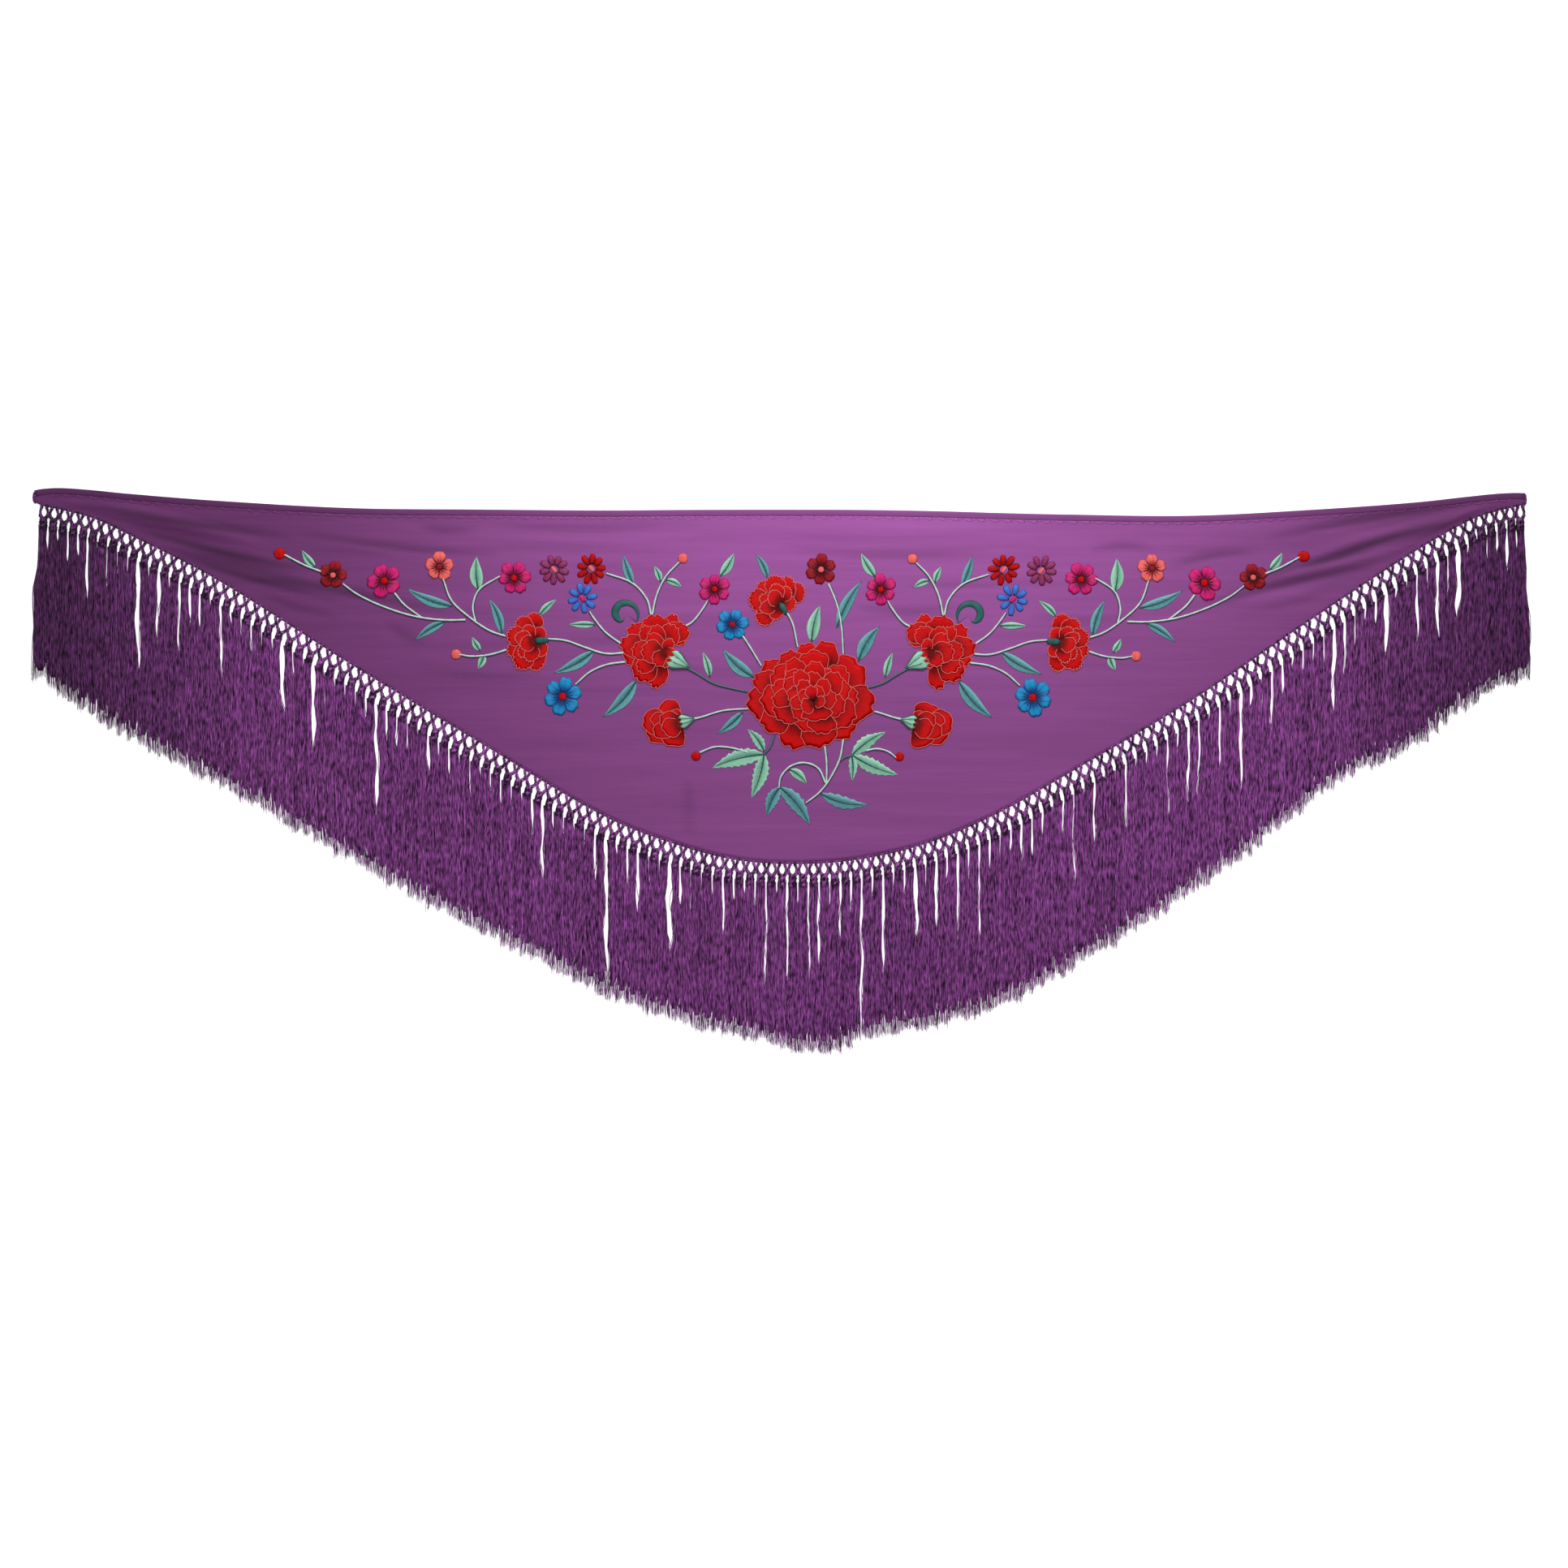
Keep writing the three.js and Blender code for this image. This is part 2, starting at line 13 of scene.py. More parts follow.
import bpy
import numpy as np
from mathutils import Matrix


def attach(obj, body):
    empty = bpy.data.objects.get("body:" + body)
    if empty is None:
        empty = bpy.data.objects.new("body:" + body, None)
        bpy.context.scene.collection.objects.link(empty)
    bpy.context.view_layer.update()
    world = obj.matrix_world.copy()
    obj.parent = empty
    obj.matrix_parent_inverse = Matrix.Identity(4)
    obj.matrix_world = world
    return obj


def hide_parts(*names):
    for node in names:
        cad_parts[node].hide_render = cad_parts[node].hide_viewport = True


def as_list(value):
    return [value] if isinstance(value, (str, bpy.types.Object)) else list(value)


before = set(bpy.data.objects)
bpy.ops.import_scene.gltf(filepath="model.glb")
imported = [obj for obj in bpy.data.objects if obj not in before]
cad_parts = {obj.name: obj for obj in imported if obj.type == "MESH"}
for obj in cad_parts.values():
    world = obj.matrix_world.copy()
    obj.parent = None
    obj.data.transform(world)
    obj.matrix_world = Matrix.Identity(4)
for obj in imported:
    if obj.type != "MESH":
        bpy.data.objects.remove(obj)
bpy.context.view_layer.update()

MM = 0.001
BODY = "root"
FULL_TURN = 2 * math.pi
log = logging.getLogger("shawl")

Place = Callable[[np.ndarray, np.ndarray], tuple[np.ndarray, np.ndarray]]
Shape = Callable[[np.ndarray, np.ndarray], np.ndarray]


def linear(red: int, green: int, blue: int) -> tuple[float, float, float, float]:
    """Turn a colour as seen on a screen into the linear one that a shader takes.

    Args:
        red: From 0 to 255.
        green: From 0 to 255.
        blue: From 0 to 255.

    Returns:
        The linear colour with an alpha of 1.
    """
    parts = [c / 12.92 if c <= 0.04045 else ((c + 0.055) / 1.055) ** 2.4 for c in
             (red / 255, green / 255, blue / 255)]
    return (parts[0], parts[1], parts[2], 1.0)


def ease(value: np.ndarray | float) -> np.ndarray:
    """Ease from 0 to 1 with flat ends, held at both ends."""
    share = np.clip(value, 0, 1)
    return share * share * (3 - 2 * share)


class Dye(Enum):
    """Every thread colour in the embroidery."""

    RED = "red"
    CRIMSON = "crimson"
    CORAL = "coral"
    MAGENTA = "magenta"
    PLUM = "plum"
    BLUE = "blue"
    CORNFLOWER = "cornflower"
    MINT = "mint"
    TEAL = "teal"
    PINE = "pine"
    SAGE = "sage"
    SLATE = "slate"


class BloomKind(Enum):
    """The ways in which a bloom is worked."""

    PEONY = "peony"
    CARNATION = "carnation"
    SPRAY_CARNATION = "spray carnation"
    ROSE_BUD = "rose bud"
    ROUND = "round-petalled flower"
    DAISY = "daisy"
    BERRY = "berry"


@dataclass(frozen=True)
class EdgePlace:
    """The cloth's long edge and fringed edge at one place along X."""

    x: float
    top: float
    low: float


@dataclass(frozen=True)
class HangPlace:
    """Length of the fringe below the cloth at one place along X."""

    x: float
    length: float


@dataclass(frozen=True)
class Fold:
    """A soft ridge, or a trough where its height is below zero, tapering at both ends."""

    from_x: float
    from_y: float
    to_x: float
    to_y: float
    width: float
    height: float
    sag: float = 4.0

    def at(self, x: np.ndarray, y: np.ndarray) -> tuple[np.ndarray, np.ndarray]:
        """Read points of the cloth in the fold's own directions.

        Args:
            x: The points' X.
            y: The points' Y.

        Returns:
            Share of the way along the fold, and distance from its bowed middle line.
        """
        run_x, run_y = self.to_x - self.from_x, self.to_y - self.from_y
        length = math.hypot(run_x, run_y)
        share = ((x - self.from_x) * run_x + (y - self.from_y) * run_y) / length**2
        along = np.clip(share, 0, 1)
        sag = self.sag * np.sin(math.pi * along) * np.sign(self.height)
        return along, ((x - self.from_x) * run_y - (y - self.from_y) * run_x) / length + sag


@dataclass(frozen=True)
class Slit:
    """An open slit between two tassels, by its place along X."""

    x: float
    length: float
    width: float


@dataclass(frozen=True)
class Bloom:
    """One bloom: its middle, half sizes, petals, threads, turn, and -1 for a mirrored one."""

    kind: BloomKind
    x: float
    y: float
    half_width: float
    half_height: float
    petals: int
    dye: Dye
    heart: Dye
    turn: float = 0.0
    side: int = 1

    def spot(self, x: np.ndarray, y: np.ndarray) -> tuple[np.ndarray, np.ndarray]:
        """Turn a place within the bloom into a place on the cloth."""
        c, s = math.cos(self.turn), math.sin(self.turn)
        return self.x + self.side * (x * c - y * s), self.y + x * s + y * c


@dataclass(frozen=True)
class Petal:
    """One ruffled petal: its edge's middle, its foot and its width, from the bloom's middle."""

    tip_x: float
    tip_y: float
    x: float
    y: float
    width: float


@dataclass(frozen=True)
class Ruffle:
    """How a ruffled bloom is worked: its rings of petals from the outside, and their waves."""

    rings: tuple[tuple[Petal, ...], ...]
    lobes: float
    depth: float
    ground: tuple[float, float, float]
    layer: float = 0.42


@dataclass(frozen=True)
class Leaf:
    """One leaf, from its stem to its tip. Bow bends it to the left of that way."""

    x: float
    y: float
    tip_x: float
    tip_y: float
    width: float
    dye: Dye
    bow: float = 0.0
    teeth: int = 0


@dataclass(frozen=True)
class HookPlace:
    """One place on a hooked tendril's middle line, and half of its width there."""

    x: float
    y: float
    half: float


@dataclass(frozen=True)
class Tendril:
    """A hooked tendril: its middle, its two ends' distances from it, and half its width."""

    x: float
    y: float
    curled: float
    thin: float
    half: float
    begins: float = -0.53
    ends: float = -2.17
    places: int = 12

    def line(self) -> list[HookPlace]:
        """Open out from the curled end round to the thin one, widest in the bend.

        Returns:
            The middle line's places, in order.
        """
        share = np.linspace(0, 1, self.places)
        turn = math.pi * (self.begins + (self.ends - self.begins) * share)
        reach = self.curled + (self.thin - self.curled) * share
        half = 0.3 + self.half * np.sin(math.pi * share**0.75) ** 0.8
        return [HookPlace(self.x + r * math.cos(t), self.y + r * math.sin(t), h)
                for r, t, h in zip(reach, turn, half)]


@dataclass(frozen=True)
class Stem:
    """One stem through its places, from the bloom that carries it."""

    dye: Dye
    places: tuple[tuple[float, float], ...]


OUTLINE = (
    EdgePlace(-800, 299.6, 288),
    EdgePlace(-790, 301.6, 283.2),
    EdgePlace(-770, 302.5, 279),
    EdgePlace(-735, 300, 269.5),
    EdgePlace(-700, 296.5, 253.5),
    EdgePlace(-605, 289, 205),
    EdgePlace(-460, 281, 113.5),
    EdgePlace(-320, 279.5, 28.5),
    EdgePlace(-190, 278.5, -48.5),
    EdgePlace(-115, 279, -78.5),
    EdgePlace(-45, 279.3, -96.5),
    EdgePlace(28, 279.3, -100.5),
    EdgePlace(95, 279, -94),
    EdgePlace(165, 277.8, -76),
    EdgePlace(235, 275.8, -45.5),
    EdgePlace(300, 274.3, -9),
    EdgePlace(440, 272.8, 74),
    EdgePlace(580, 279.8, 168.5),
    EdgePlace(680, 287, 234),
    EdgePlace(740, 293.5, 268),
    EdgePlace(770, 296.5, 278),
    EdgePlace(790, 297.3, 282.5),
    EdgePlace(800, 296.8, 286),
)

HANG = (
    HangPlace(-800, 183),
    HangPlace(-735, 209),
    HangPlace(-655, 217),
    HangPlace(-500, 209),
    HangPlace(-350, 201),
    HangPlace(-230, 190),
    HangPlace(-40, 189),
    HangPlace(45, 203),
    HangPlace(105, 192),
    HangPlace(240, 206),
    HangPlace(380, 204),
    HangPlace(520, 196),
    HangPlace(590, 188),
    HangPlace(660, 203),
    HangPlace(800, 184),
)

# The stronger folds fan in from the two corners, and faint ripples cross the middle.
FOLDS = (
    Fold(-775, 291, -545, 236, 13, 3.6),
    Fold(-752, 287, -520, 250, 9, -1.0),
    Fold(-700, 262, -500, 214, 9, -1.2),
    Fold(-650, 233, -500, 190, 8, -0.9),
    Fold(-665, 243, -500, 209, 12, 2.6),
    Fold(-630, 230, -352, 170, 10, -1.0),
    Fold(-600, 214, -450, 181, 12, 2.0),
    Fold(-520, 254, -300, 232, 8, -0.7),
    Fold(-512, 240, -400, 229, 8, 0.9),
    Fold(-388, 262, -325, 259, 9, -0.6),
    Fold(-420, 158, -378, 136, 10, -0.5),
    Fold(-95, -8, -99, -72, 9, -0.4),
    Fold(780, 288, 570, 232, 13, 3.6),
    Fold(725, 267, 560, 216, 10, -1.1),
    Fold(740, 284, 520, 248, 9, -0.9),
    Fold(640, 236, 500, 200, 8, -0.8),
    Fold(700, 252, 515, 201, 12, 2.6),
    Fold(640, 220, 455, 176, 10, -1.0),
    Fold(590, 199, 490, 178, 12, 2.0),
    Fold(510, 234, 420, 219, 9, -0.7),
    Fold(400, 238, 330, 235, 9, -0.6),
    Fold(-110, 258, 300, 251, 17, 1.6),
    Fold(10, 237, 230, 235, 8, -0.6),
    Fold(80, 175, 190, 172, 9, -0.5),
    Fold(-330, 244, -150, 240, 10, 0.6),
    Fold(-300, 262, -120, 262, 9, -0.4),
    Fold(-390, 108, -250, 101, 9, -0.4),
    Fold(-190, 108, -60, 111, 8, 0.45),
    Fold(110, 128, 260, 133, 8, 0.45),
    Fold(270, 165, 390, 163, 9, -0.4),
    Fold(120, 200, 300, 205, 7, -0.35),
    Fold(-240, 140, -120, 147, 7, -0.3),
    Fold(-60, 235, 60, 240, 7, 0.3),
    Fold(-660, 262, -560, 245, 8, 0.8),
    Fold(-560, 190, -470, 165, 8, -0.5),
)

# The longest slits, read and rounded to 5 mm. The other gaps follow Fringe.short_slits.
SLITS = (
    Slit(-745, 70, 3.5), Slit(-690, 120, 5.0), Slit(-665, 75, 4.0), Slit(-640, 80, 3.0),
    Slit(-595, 80, 3.5), Slit(-535, 75, 5.0), Slit(-495, 95, 5.0), Slit(-435, 135, 4.0),
    Slit(-255, 85, 4.0), Slit(-200, 50, 3.0), Slit(-185, 165, 4.5), Slit(-150, 65, 4.0),
    Slit(-115, 95, 6.0), Slit(-60, 65, 3.0), Slit(-15, 120, 2.5), Slit(10, 110, 3.0),
    Slit(35, 115, 2.5), Slit(45, 95, 3.0), Slit(70, 70, 3.0), Slit(85, 180, 3.0),
    Slit(115, 110, 3.5), Slit(140, 80, 4.5), Slit(165, 75, 4.0), Slit(190, 100, 3.0),
    Slit(210, 110, 2.5), Slit(310, 100, 3.0), Slit(320, 110, 2.0), Slit(340, 70, 3.0),
    Slit(370, 80, 2.5), Slit(415, 90, 2.0), Slit(435, 90, 3.0), Slit(450, 90, 2.5),
    Slit(475, 65, 3.0), Slit(490, 110, 4.0), Slit(525, 70, 3.0), Slit(595, 90, 5.0),
    Slit(610, 55, 3.0), Slit(650, 65, 5.5), Slit(685, 80, 3.0), Slit(710, 85, 4.0),
    Slit(725, 80, 5.5),
)

# Blooms of the left spray, which the right one mirrors.
SIDE_BLOOMS = (
    Bloom(BloomKind.CARNATION, -135, 129, 36, 40, 11, Dye.RED, Dye.CORAL),
    Bloom(BloomKind.SPRAY_CARNATION, -263, 138.5, 22, 32, 10, Dye.RED, Dye.CORAL),
    Bloom(BloomKind.ROSE_BUD, -126, 48, 22, 21, 6, Dye.RED, Dye.CORAL),
    Bloom(BloomKind.ROUND, -233, 79, 21, 21, 6, Dye.BLUE, Dye.RED, 0.3),
    Bloom(BloomKind.DAISY, -212, 184, 17, 16, 8, Dye.CORNFLOWER, Dye.MAGENTA, 0.2),
    Bloom(BloomKind.DAISY, -202, 216, 17, 17, 9, Dye.RED, Dye.CORAL, 0.1),
    Bloom(BloomKind.DAISY, -242, 215, 17, 17, 9, Dye.PLUM, Dye.CORAL, 0.5),
    Bloom(BloomKind.ROUND, -70, 194, 17, 17, 6, Dye.MAGENTA, Dye.RED, 0.5),
    Bloom(BloomKind.ROUND, -285, 206, 18, 18, 6, Dye.MAGENTA, Dye.RED, 0.1),
    Bloom(BloomKind.ROUND, -365, 218, 16, 16, 5, Dye.CORAL, Dye.CRIMSON, 0.3),
    Bloom(BloomKind.ROUND, -424, 203, 20, 18, 5, Dye.MAGENTA, Dye.RED, 0.7),
    Bloom(BloomKind.ROUND, -479, 209, 16, 15, 5, Dye.CRIMSON, Dye.CORAL, 0.1),
    Bloom(BloomKind.BERRY, -104, 227, 5.5, 5.5, 1, Dye.CORAL, Dye.CORAL),
    Bloom(BloomKind.BERRY, -347, 124, 5.5, 5.5, 1, Dye.CORAL, Dye.CORAL),
    Bloom(BloomKind.BERRY, -536, 232, 6.5, 6.0, 1, Dye.RED, Dye.RED),
    Bloom(BloomKind.BERRY, -90, 15, 5, 5, 1, Dye.RED, Dye.RED),
)

MIDDLE_BLOOMS = (
    Bloom(BloomKind.PEONY, 33, 81, 69, 59, 13, Dye.RED, Dye.CORAL),
    Bloom(BloomKind.SPRAY_CARNATION, 0.3, 179, 25, 29, 10, Dye.RED, Dye.CORAL, -1.05),
    Bloom(BloomKind.ROUND, 44, 215, 17, 17, 6, Dye.CRIMSON, Dye.CORAL, 0.4),
    Bloom(BloomKind.ROUND, -51, 156, 18, 18, 6, Dye.BLUE, Dye.CRIMSON, 0.2),
)

SIDE_LEAVES = (
    Leaf(-157, 199, -168, 231, 10, Dye.TEAL, 0.04),
    Leaf(-128, 202, -135, 219, 8, Dye.MINT, -0.05),
    Leaf(-122, 204, -105, 196, 8, Dye.MINT, 0.06),
    Leaf(-258, 166, -239, 183, 8, Dye.MINT, 0.05),
    Leaf(-298, 146, -312, 184, 11, Dye.TEAL, -0.06),
    Leaf(-199, 128, -243, 104, 13, Dye.TEAL, 0.06),
    Leaf(-198, 156, -227, 156, 8, Dye.MINT),
    Leaf(-154, 96, -190, 57, 15, Dye.TEAL, 0.07),
    Leaf(-351, 176, -400, 195, 12, Dye.TEAL, 0.07),
    Leaf(-359, 159, -391, 139, 10, Dye.TEAL, -0.05),
    Leaf(-323, 193, -325, 229, 15, Dye.MINT, 0.05),
    Leaf(-498, 218, -512, 236, 9, Dye.MINT, 0.07),
    Leaf(-321, 128, -330, 143, 8, Dye.MINT, 0.05),
    Leaf(-317, 124, -324, 108, 9, Dye.MINT, 0.05),
    Leaf(-75, 100, -83, 127, 9, Dye.MINT, -0.04),
    Leaf(-64, 208, -49, 233, 11, Dye.MINT, -0.05),
)

MIDDLE_LEAVES = (
    Leaf(-28, 100, -61, 130, 15, Dye.TEAL, 0.08),
    Leaf(84, 117, 107, 154, 15, Dye.TEAL, 0.07),
    Leaf(-13, 206, -26, 232, 9, Dye.TEAL, -0.05),
    Leaf(61, 153, 88, 203, 13, Dye.TEAL, 0.05),
    Leaf(34, 137, 43, 177, 15, Dye.MINT, 0.05),
    Leaf(-40, 62, -67, 39, 11, Dye.TEAL, 0.05),
    Leaf(-17, 20, -35, 44, 13, Dye.MINT, -0.07, 6),
    Leaf(-17, 17, -73, 2, 21, Dye.MINT, -0.05, 8),
    Leaf(-17, 17, -31, -30, 19, Dye.MINT, 0.05, 8),
    Leaf(77, 16, 114, 41, 16, Dye.MINT, 0.06, 7),
    Leaf(78, 16, 127, -5, 18, Dye.MINT, -0.05, 8),
    Leaf(77, 16, 77, -12, 11, Dye.MINT, 0.05, 5),
    Leaf(10, 1, 29, -15, 11, Dye.MINT, 0.07),
    Leaf(0, -18, -14, -49, 16, Dye.TEAL, -0.06, 6),
    Leaf(0, -18, 32, -59, 19, Dye.TEAL, 0.06, 6),
    Leaf(44, -25, 95, -37, 16, Dye.TEAL, -0.08, 6),
)

SIDE_STEMS = (
    Stem(Dye.SAGE, ((-138, 166), (-143, 184), (-159, 201), (-186, 211))),
    Stem(Dye.SAGE, ((-137, 166), (-132, 188), (-122, 208), (-108, 223))),
    Stem(Dye.SAGE, ((-110, 152), (-95, 158), (-82, 174), (-74, 189))),
    Stem(Dye.SAGE, ((-168, 134), (-186, 147), (-198, 161), (-204, 170))),
    Stem(Dye.SAGE, ((-165, 126), (-187, 125), (-210, 132), (-230, 139), (-252, 141))),
    Stem(Dye.SAGE, ((-166, 116), (-186, 113), (-204, 105), (-219, 92))),
    Stem(Dye.SLATE, ((-98, 109), (-86, 102), (-68, 92), (-34, 84))),
    Stem(Dye.SAGE, ((-93, 55), (-84, 57), (-60, 64), (-32, 66))),
    Stem(Dye.SAGE, ((-292, 143), (-312, 150), (-334, 165), (-352, 182), (-361, 205))),
    Stem(Dye.SAGE, ((-337, 161), (-362, 161), (-392, 165), (-424, 175), (-452, 188), (-470, 201))),
    Stem(Dye.SAGE, ((-413, 190), (-402, 177), (-383, 163))),
    Stem(Dye.SAGE, ((-326, 158), (-329, 176), (-322, 194), (-300, 208))),
    Stem(Dye.SAGE, ((-492, 213), (-510, 220), (-531, 231))),
    Stem(Dye.SAGE, ((-290, 130), (-310, 124), (-330, 122), (-343, 124))),
)

MIDDLE_STEMS = (
    Stem(Dye.SAGE, ((-40, 144), (-32, 132), (-20, 112))),
    Stem(Dye.SAGE, ((52, 200), (61, 178), (66, 153), (68, 122))),
    Stem(Dye.SAGE, ((7, 170), (14, 156), (19, 132))),
    Stem(Dye.SAGE, ((48, 26), (50, 8), (50, -14))),
    Stem(Dye.SAGE, ((68, 34), (64, 12), (53, -10), (42, -24), (28, -35))),
    Stem(Dye.SAGE, ((49, -14), (41, 2), (26, 8), (11, 4), (1, -7), (-1, -19))),
    Stem(Dye.SLATE, ((-6, 38), (-10, 26), (-17, 17))),
    Stem(Dye.SLATE, ((64, 10), (70, 14), (78, 16))),
    Stem(Dye.SAGE, ((-86, 19), (-70, 25), (-52, 24), (-34, 19))),
    Stem(Dye.SAGE, ((92, 21), (104, 23), (116, 20), (125, 13))),
)

# Cups from which the carnations and buds spring, from the stem's end to the petals.
SIDE_CUPS = (
    Leaf(-97, 110, -117, 120.5, 20, Dye.MINT),
    Leaf(-247.5, 139.5, -263, 138.5, 7.5, Dye.PINE),
    Leaf(-91.5, 55, -106.5, 51.5, 15, Dye.MINT),
)
MIDDLE_CUPS = (Leaf(7.5, 167, 0, 179.5, 7, Dye.PINE),)

# The left tendril, which the right one mirrors.
TENDRIL = Tendril(-167, 167, 7, 16, 4)

# The peony opens from a heart low in its middle, so its lower petals are the broader ones.
PEONY = Ruffle((
    (Petal(-4, 55, 1, 28, 25), Petal(17, 57, 12, 22, 30), Petal(53, 33, 19, 9, 47),
     Petal(67, -14, 26, -6, 41), Petal(43, -44, 22, -17, 34), Petal(8, -57, 10, -22, 40),
     Petal(-25, -56, -9, -22, 37), Petal(-51, -35, -22, -17, 31), Petal(-68, -11, -28, -7, 40),
     Petal(-61, 18, -28, 7, 25), Petal(-50, 34, -22, 13, 25), Petal(-28, 45, -13, 19, 30)),
    (Petal(-39, 27, -14, 7, 33), Petal(-23, 37, -8, 10, 24), Petal(2, 47, 3, 16, 34),
     Petal(36, 29, 18, 4, 28), Petal(50, -1, 22, -3, 29), Petal(46, -28, 21, -11, 33),
     Petal(-53, -9, -20, -3, 34), Petal(-37, -24, -13, -10, 32), Petal(-11, -37, 0, -18, 30),
     Petal(12, -42, 12, -18, 30)),
    (Petal(-40, 11, -16, 1, 22), Petal(-41, -4, -15, -4, 20), Petal(-24, 25, -7, 4, 25),
     Petal(3, 35, 5, 12, 23), Petal(17, 28, 11, 9, 18), Petal(32, 20, 14, 1, 23),
     Petal(42, 8, 18, -1, 22), Petal(36, -15, 14, -8, 24), Petal(-18, -23, -4, -11, 23),
     Petal(7, -28, 6, -10, 32)),
    (Petal(-28, 15, -9, 2, 18), Petal(-15, 25, -4, 6, 17), Petal(1, 24, 4, 3, 21),
     Petal(18, 15, 8, -1, 17), Petal(-25, 2, -6, -4, 18), Petal(-22, -9, -4, -7, 16),
     Petal(27, -3, 9, -7, 20)),
    (Petal(-12, 14, -1, -3, 16), Petal(9, 9, 5, -5, 15), Petal(-13, 1, 1, -6, 15),
     Petal(-1, 9, 3, -6, 13), Petal(-9, -16, 2, -8, 17), Petal(15, -9, 4, -7, 13)),
), 2.6, 0.055, (0, -1, 38))

# A carnation seen from the side opens away from its cup, with one lobe folded over it.
CARNATION = Ruffle((
    (Petal(21, 38, 14, 12, 19), Petal(35, 25, 13, 12, 24), Petal(34, 10, 13, 14, 15),
     Petal(-1, 37, 5, 10, 31), Petal(-26, 25, -3, 4, 25), Petal(-36, 7, -5, 0, 25),
     Petal(-32, -9, -5, -4, 24), Petal(-19, -31, 1, -7, 28), Petal(1, -41, 9, -9, 20)),
    (Petal(24, 24, 9, 6, 22), Petal(-1, 25, 8, 4, 19), Petal(-12, 25, 1, 3, 17),
     Petal(-23, 1, -2, -2, 22), Petal(-18, -20, 2, -7, 21), Petal(12, -19, 12, -2, 13)),
    (Petal(-6, 16, 12, -3, 18), Petal(-13, 0, 10, -4, 24), Petal(17, 12, 13, -3, 12),
     Petal(0, -15, 13, -2, 16), Petal(20, -8, 10, 1, 14)),
), 3.4, 0.06, (4, 3, 17))

# A spray carnation is pinked, and its middle is the mouth of its cup.
SPRAY_CARNATION = Ruffle((
    (Petal(-1, 30, -1, 8, 20), Petal(10, 13, -1, 0, 16), Petal(-18, 23, -2, 3, 22),
     Petal(-29, 8, -4, 0, 22), Petal(-29, -11, -4, -2, 21), Petal(-20, -27, -2, -5, 24),
     Petal(4, -31, 0, -6, 22), Petal(12, -14, 0, -3, 16)),
    (Petal(-10, 16, -1, 0, 15), Petal(-20, 6, -2, 0, 15), Petal(-16, -16, -1, -2, 15),
     Petal(-5, -22, 0, -3, 15)),
    (Petal(-15, -5, 1, 0, 17),),
), 6.5, 0.07, (-4, 0, 12))

ROSE_BUD = Ruffle((
    (Petal(-3, 21, 17, 4, 30), Petal(-21, 5, 6, 3, 27), Petal(-15, -14, 8, 0, 25),
     Petal(6, -21, 17, 0, 29)),
    (Petal(-12, 8, 8, 3, 17), Petal(-8, -11, 14, 2, 20), Petal(9, 14, 20, 5, 15)),
    (Petal(-3, 7, 20, 5, 18), Petal(1, -6, 21, 2, 21)),
), 1.8, 0.04, (5, 0, 13))

RUFFLES = {
    BloomKind.PEONY: PEONY,
    BloomKind.CARNATION: CARNATION,
    BloomKind.SPRAY_CARNATION: SPRAY_CARNATION,
    BloomKind.ROSE_BUD: ROSE_BUD,
}


def column(table: Sequence, name: str, x: np.ndarray | float) -> np.ndarray:
    """Read one column of a table at x, on a smooth curve through its rows.

    Args:
        table: Rows that have an x, in order.
        name: The column to read.
        x: Where to read it.

    Returns:
        The column's value at each x.
    """
    xs = np.array([row.x for row in table], float)
    ys = np.array([getattr(row, name) for row in table], float)
    x = np.asarray(x, float)
    last = len(xs) - 1
    i = np.clip(np.searchsorted(xs, x), 1, last)
    before_from, after_to = np.maximum(i - 2, 0), np.minimum(i + 1, last)
    before = (ys[i] - ys[before_from]) / (xs[i] - xs[before_from])
    after = (ys[after_to] - ys[i - 1]) / (xs[after_to] - xs[i - 1])
    run = xs[i] - xs[i - 1]
    t = np.clip((x - xs[i - 1]) / run, 0, 1)
    rise = (ys[i] - ys[i - 1]) * t * t * (3 - 2 * t)
    return ys[i - 1] + rise + run * t * (1 - t) * (before * (1 - t) - after * t)


@dataclass(frozen=True)
class EdgeFrame:
    """A place on the fringed edge, with the ways along it, out of it and down its tassel."""

    point: np.ndarray
    along: np.ndarray
    out: np.ndarray
    down: np.ndarray

    @staticmethod
    def at(x: float) -> "EdgeFrame":
        """Make the frame at one place along X.

        Args:
            x: The place.

        Returns:
            The frame there.
        """
        step = 2.0
        low = column(OUTLINE, "low", np.clip([x - step, x, x + step], -788, 788))
        along = np.array([2 * step, low[2] - low[0]])
        along /= np.linalg.norm(along)
        out = np.array([along[1], -along[0]])
        down = out + np.array([0.0, -1.0])
        return EdgeFrame(np.array([x, low[1]]), along, out, down / np.linalg.norm(down))


@dataclass
class Run:
    """A line of points that a thread follows, with its half thickness and tone at each point."""

    points: np.ndarray
    radius: np.ndarray
    tone: np.ndarray


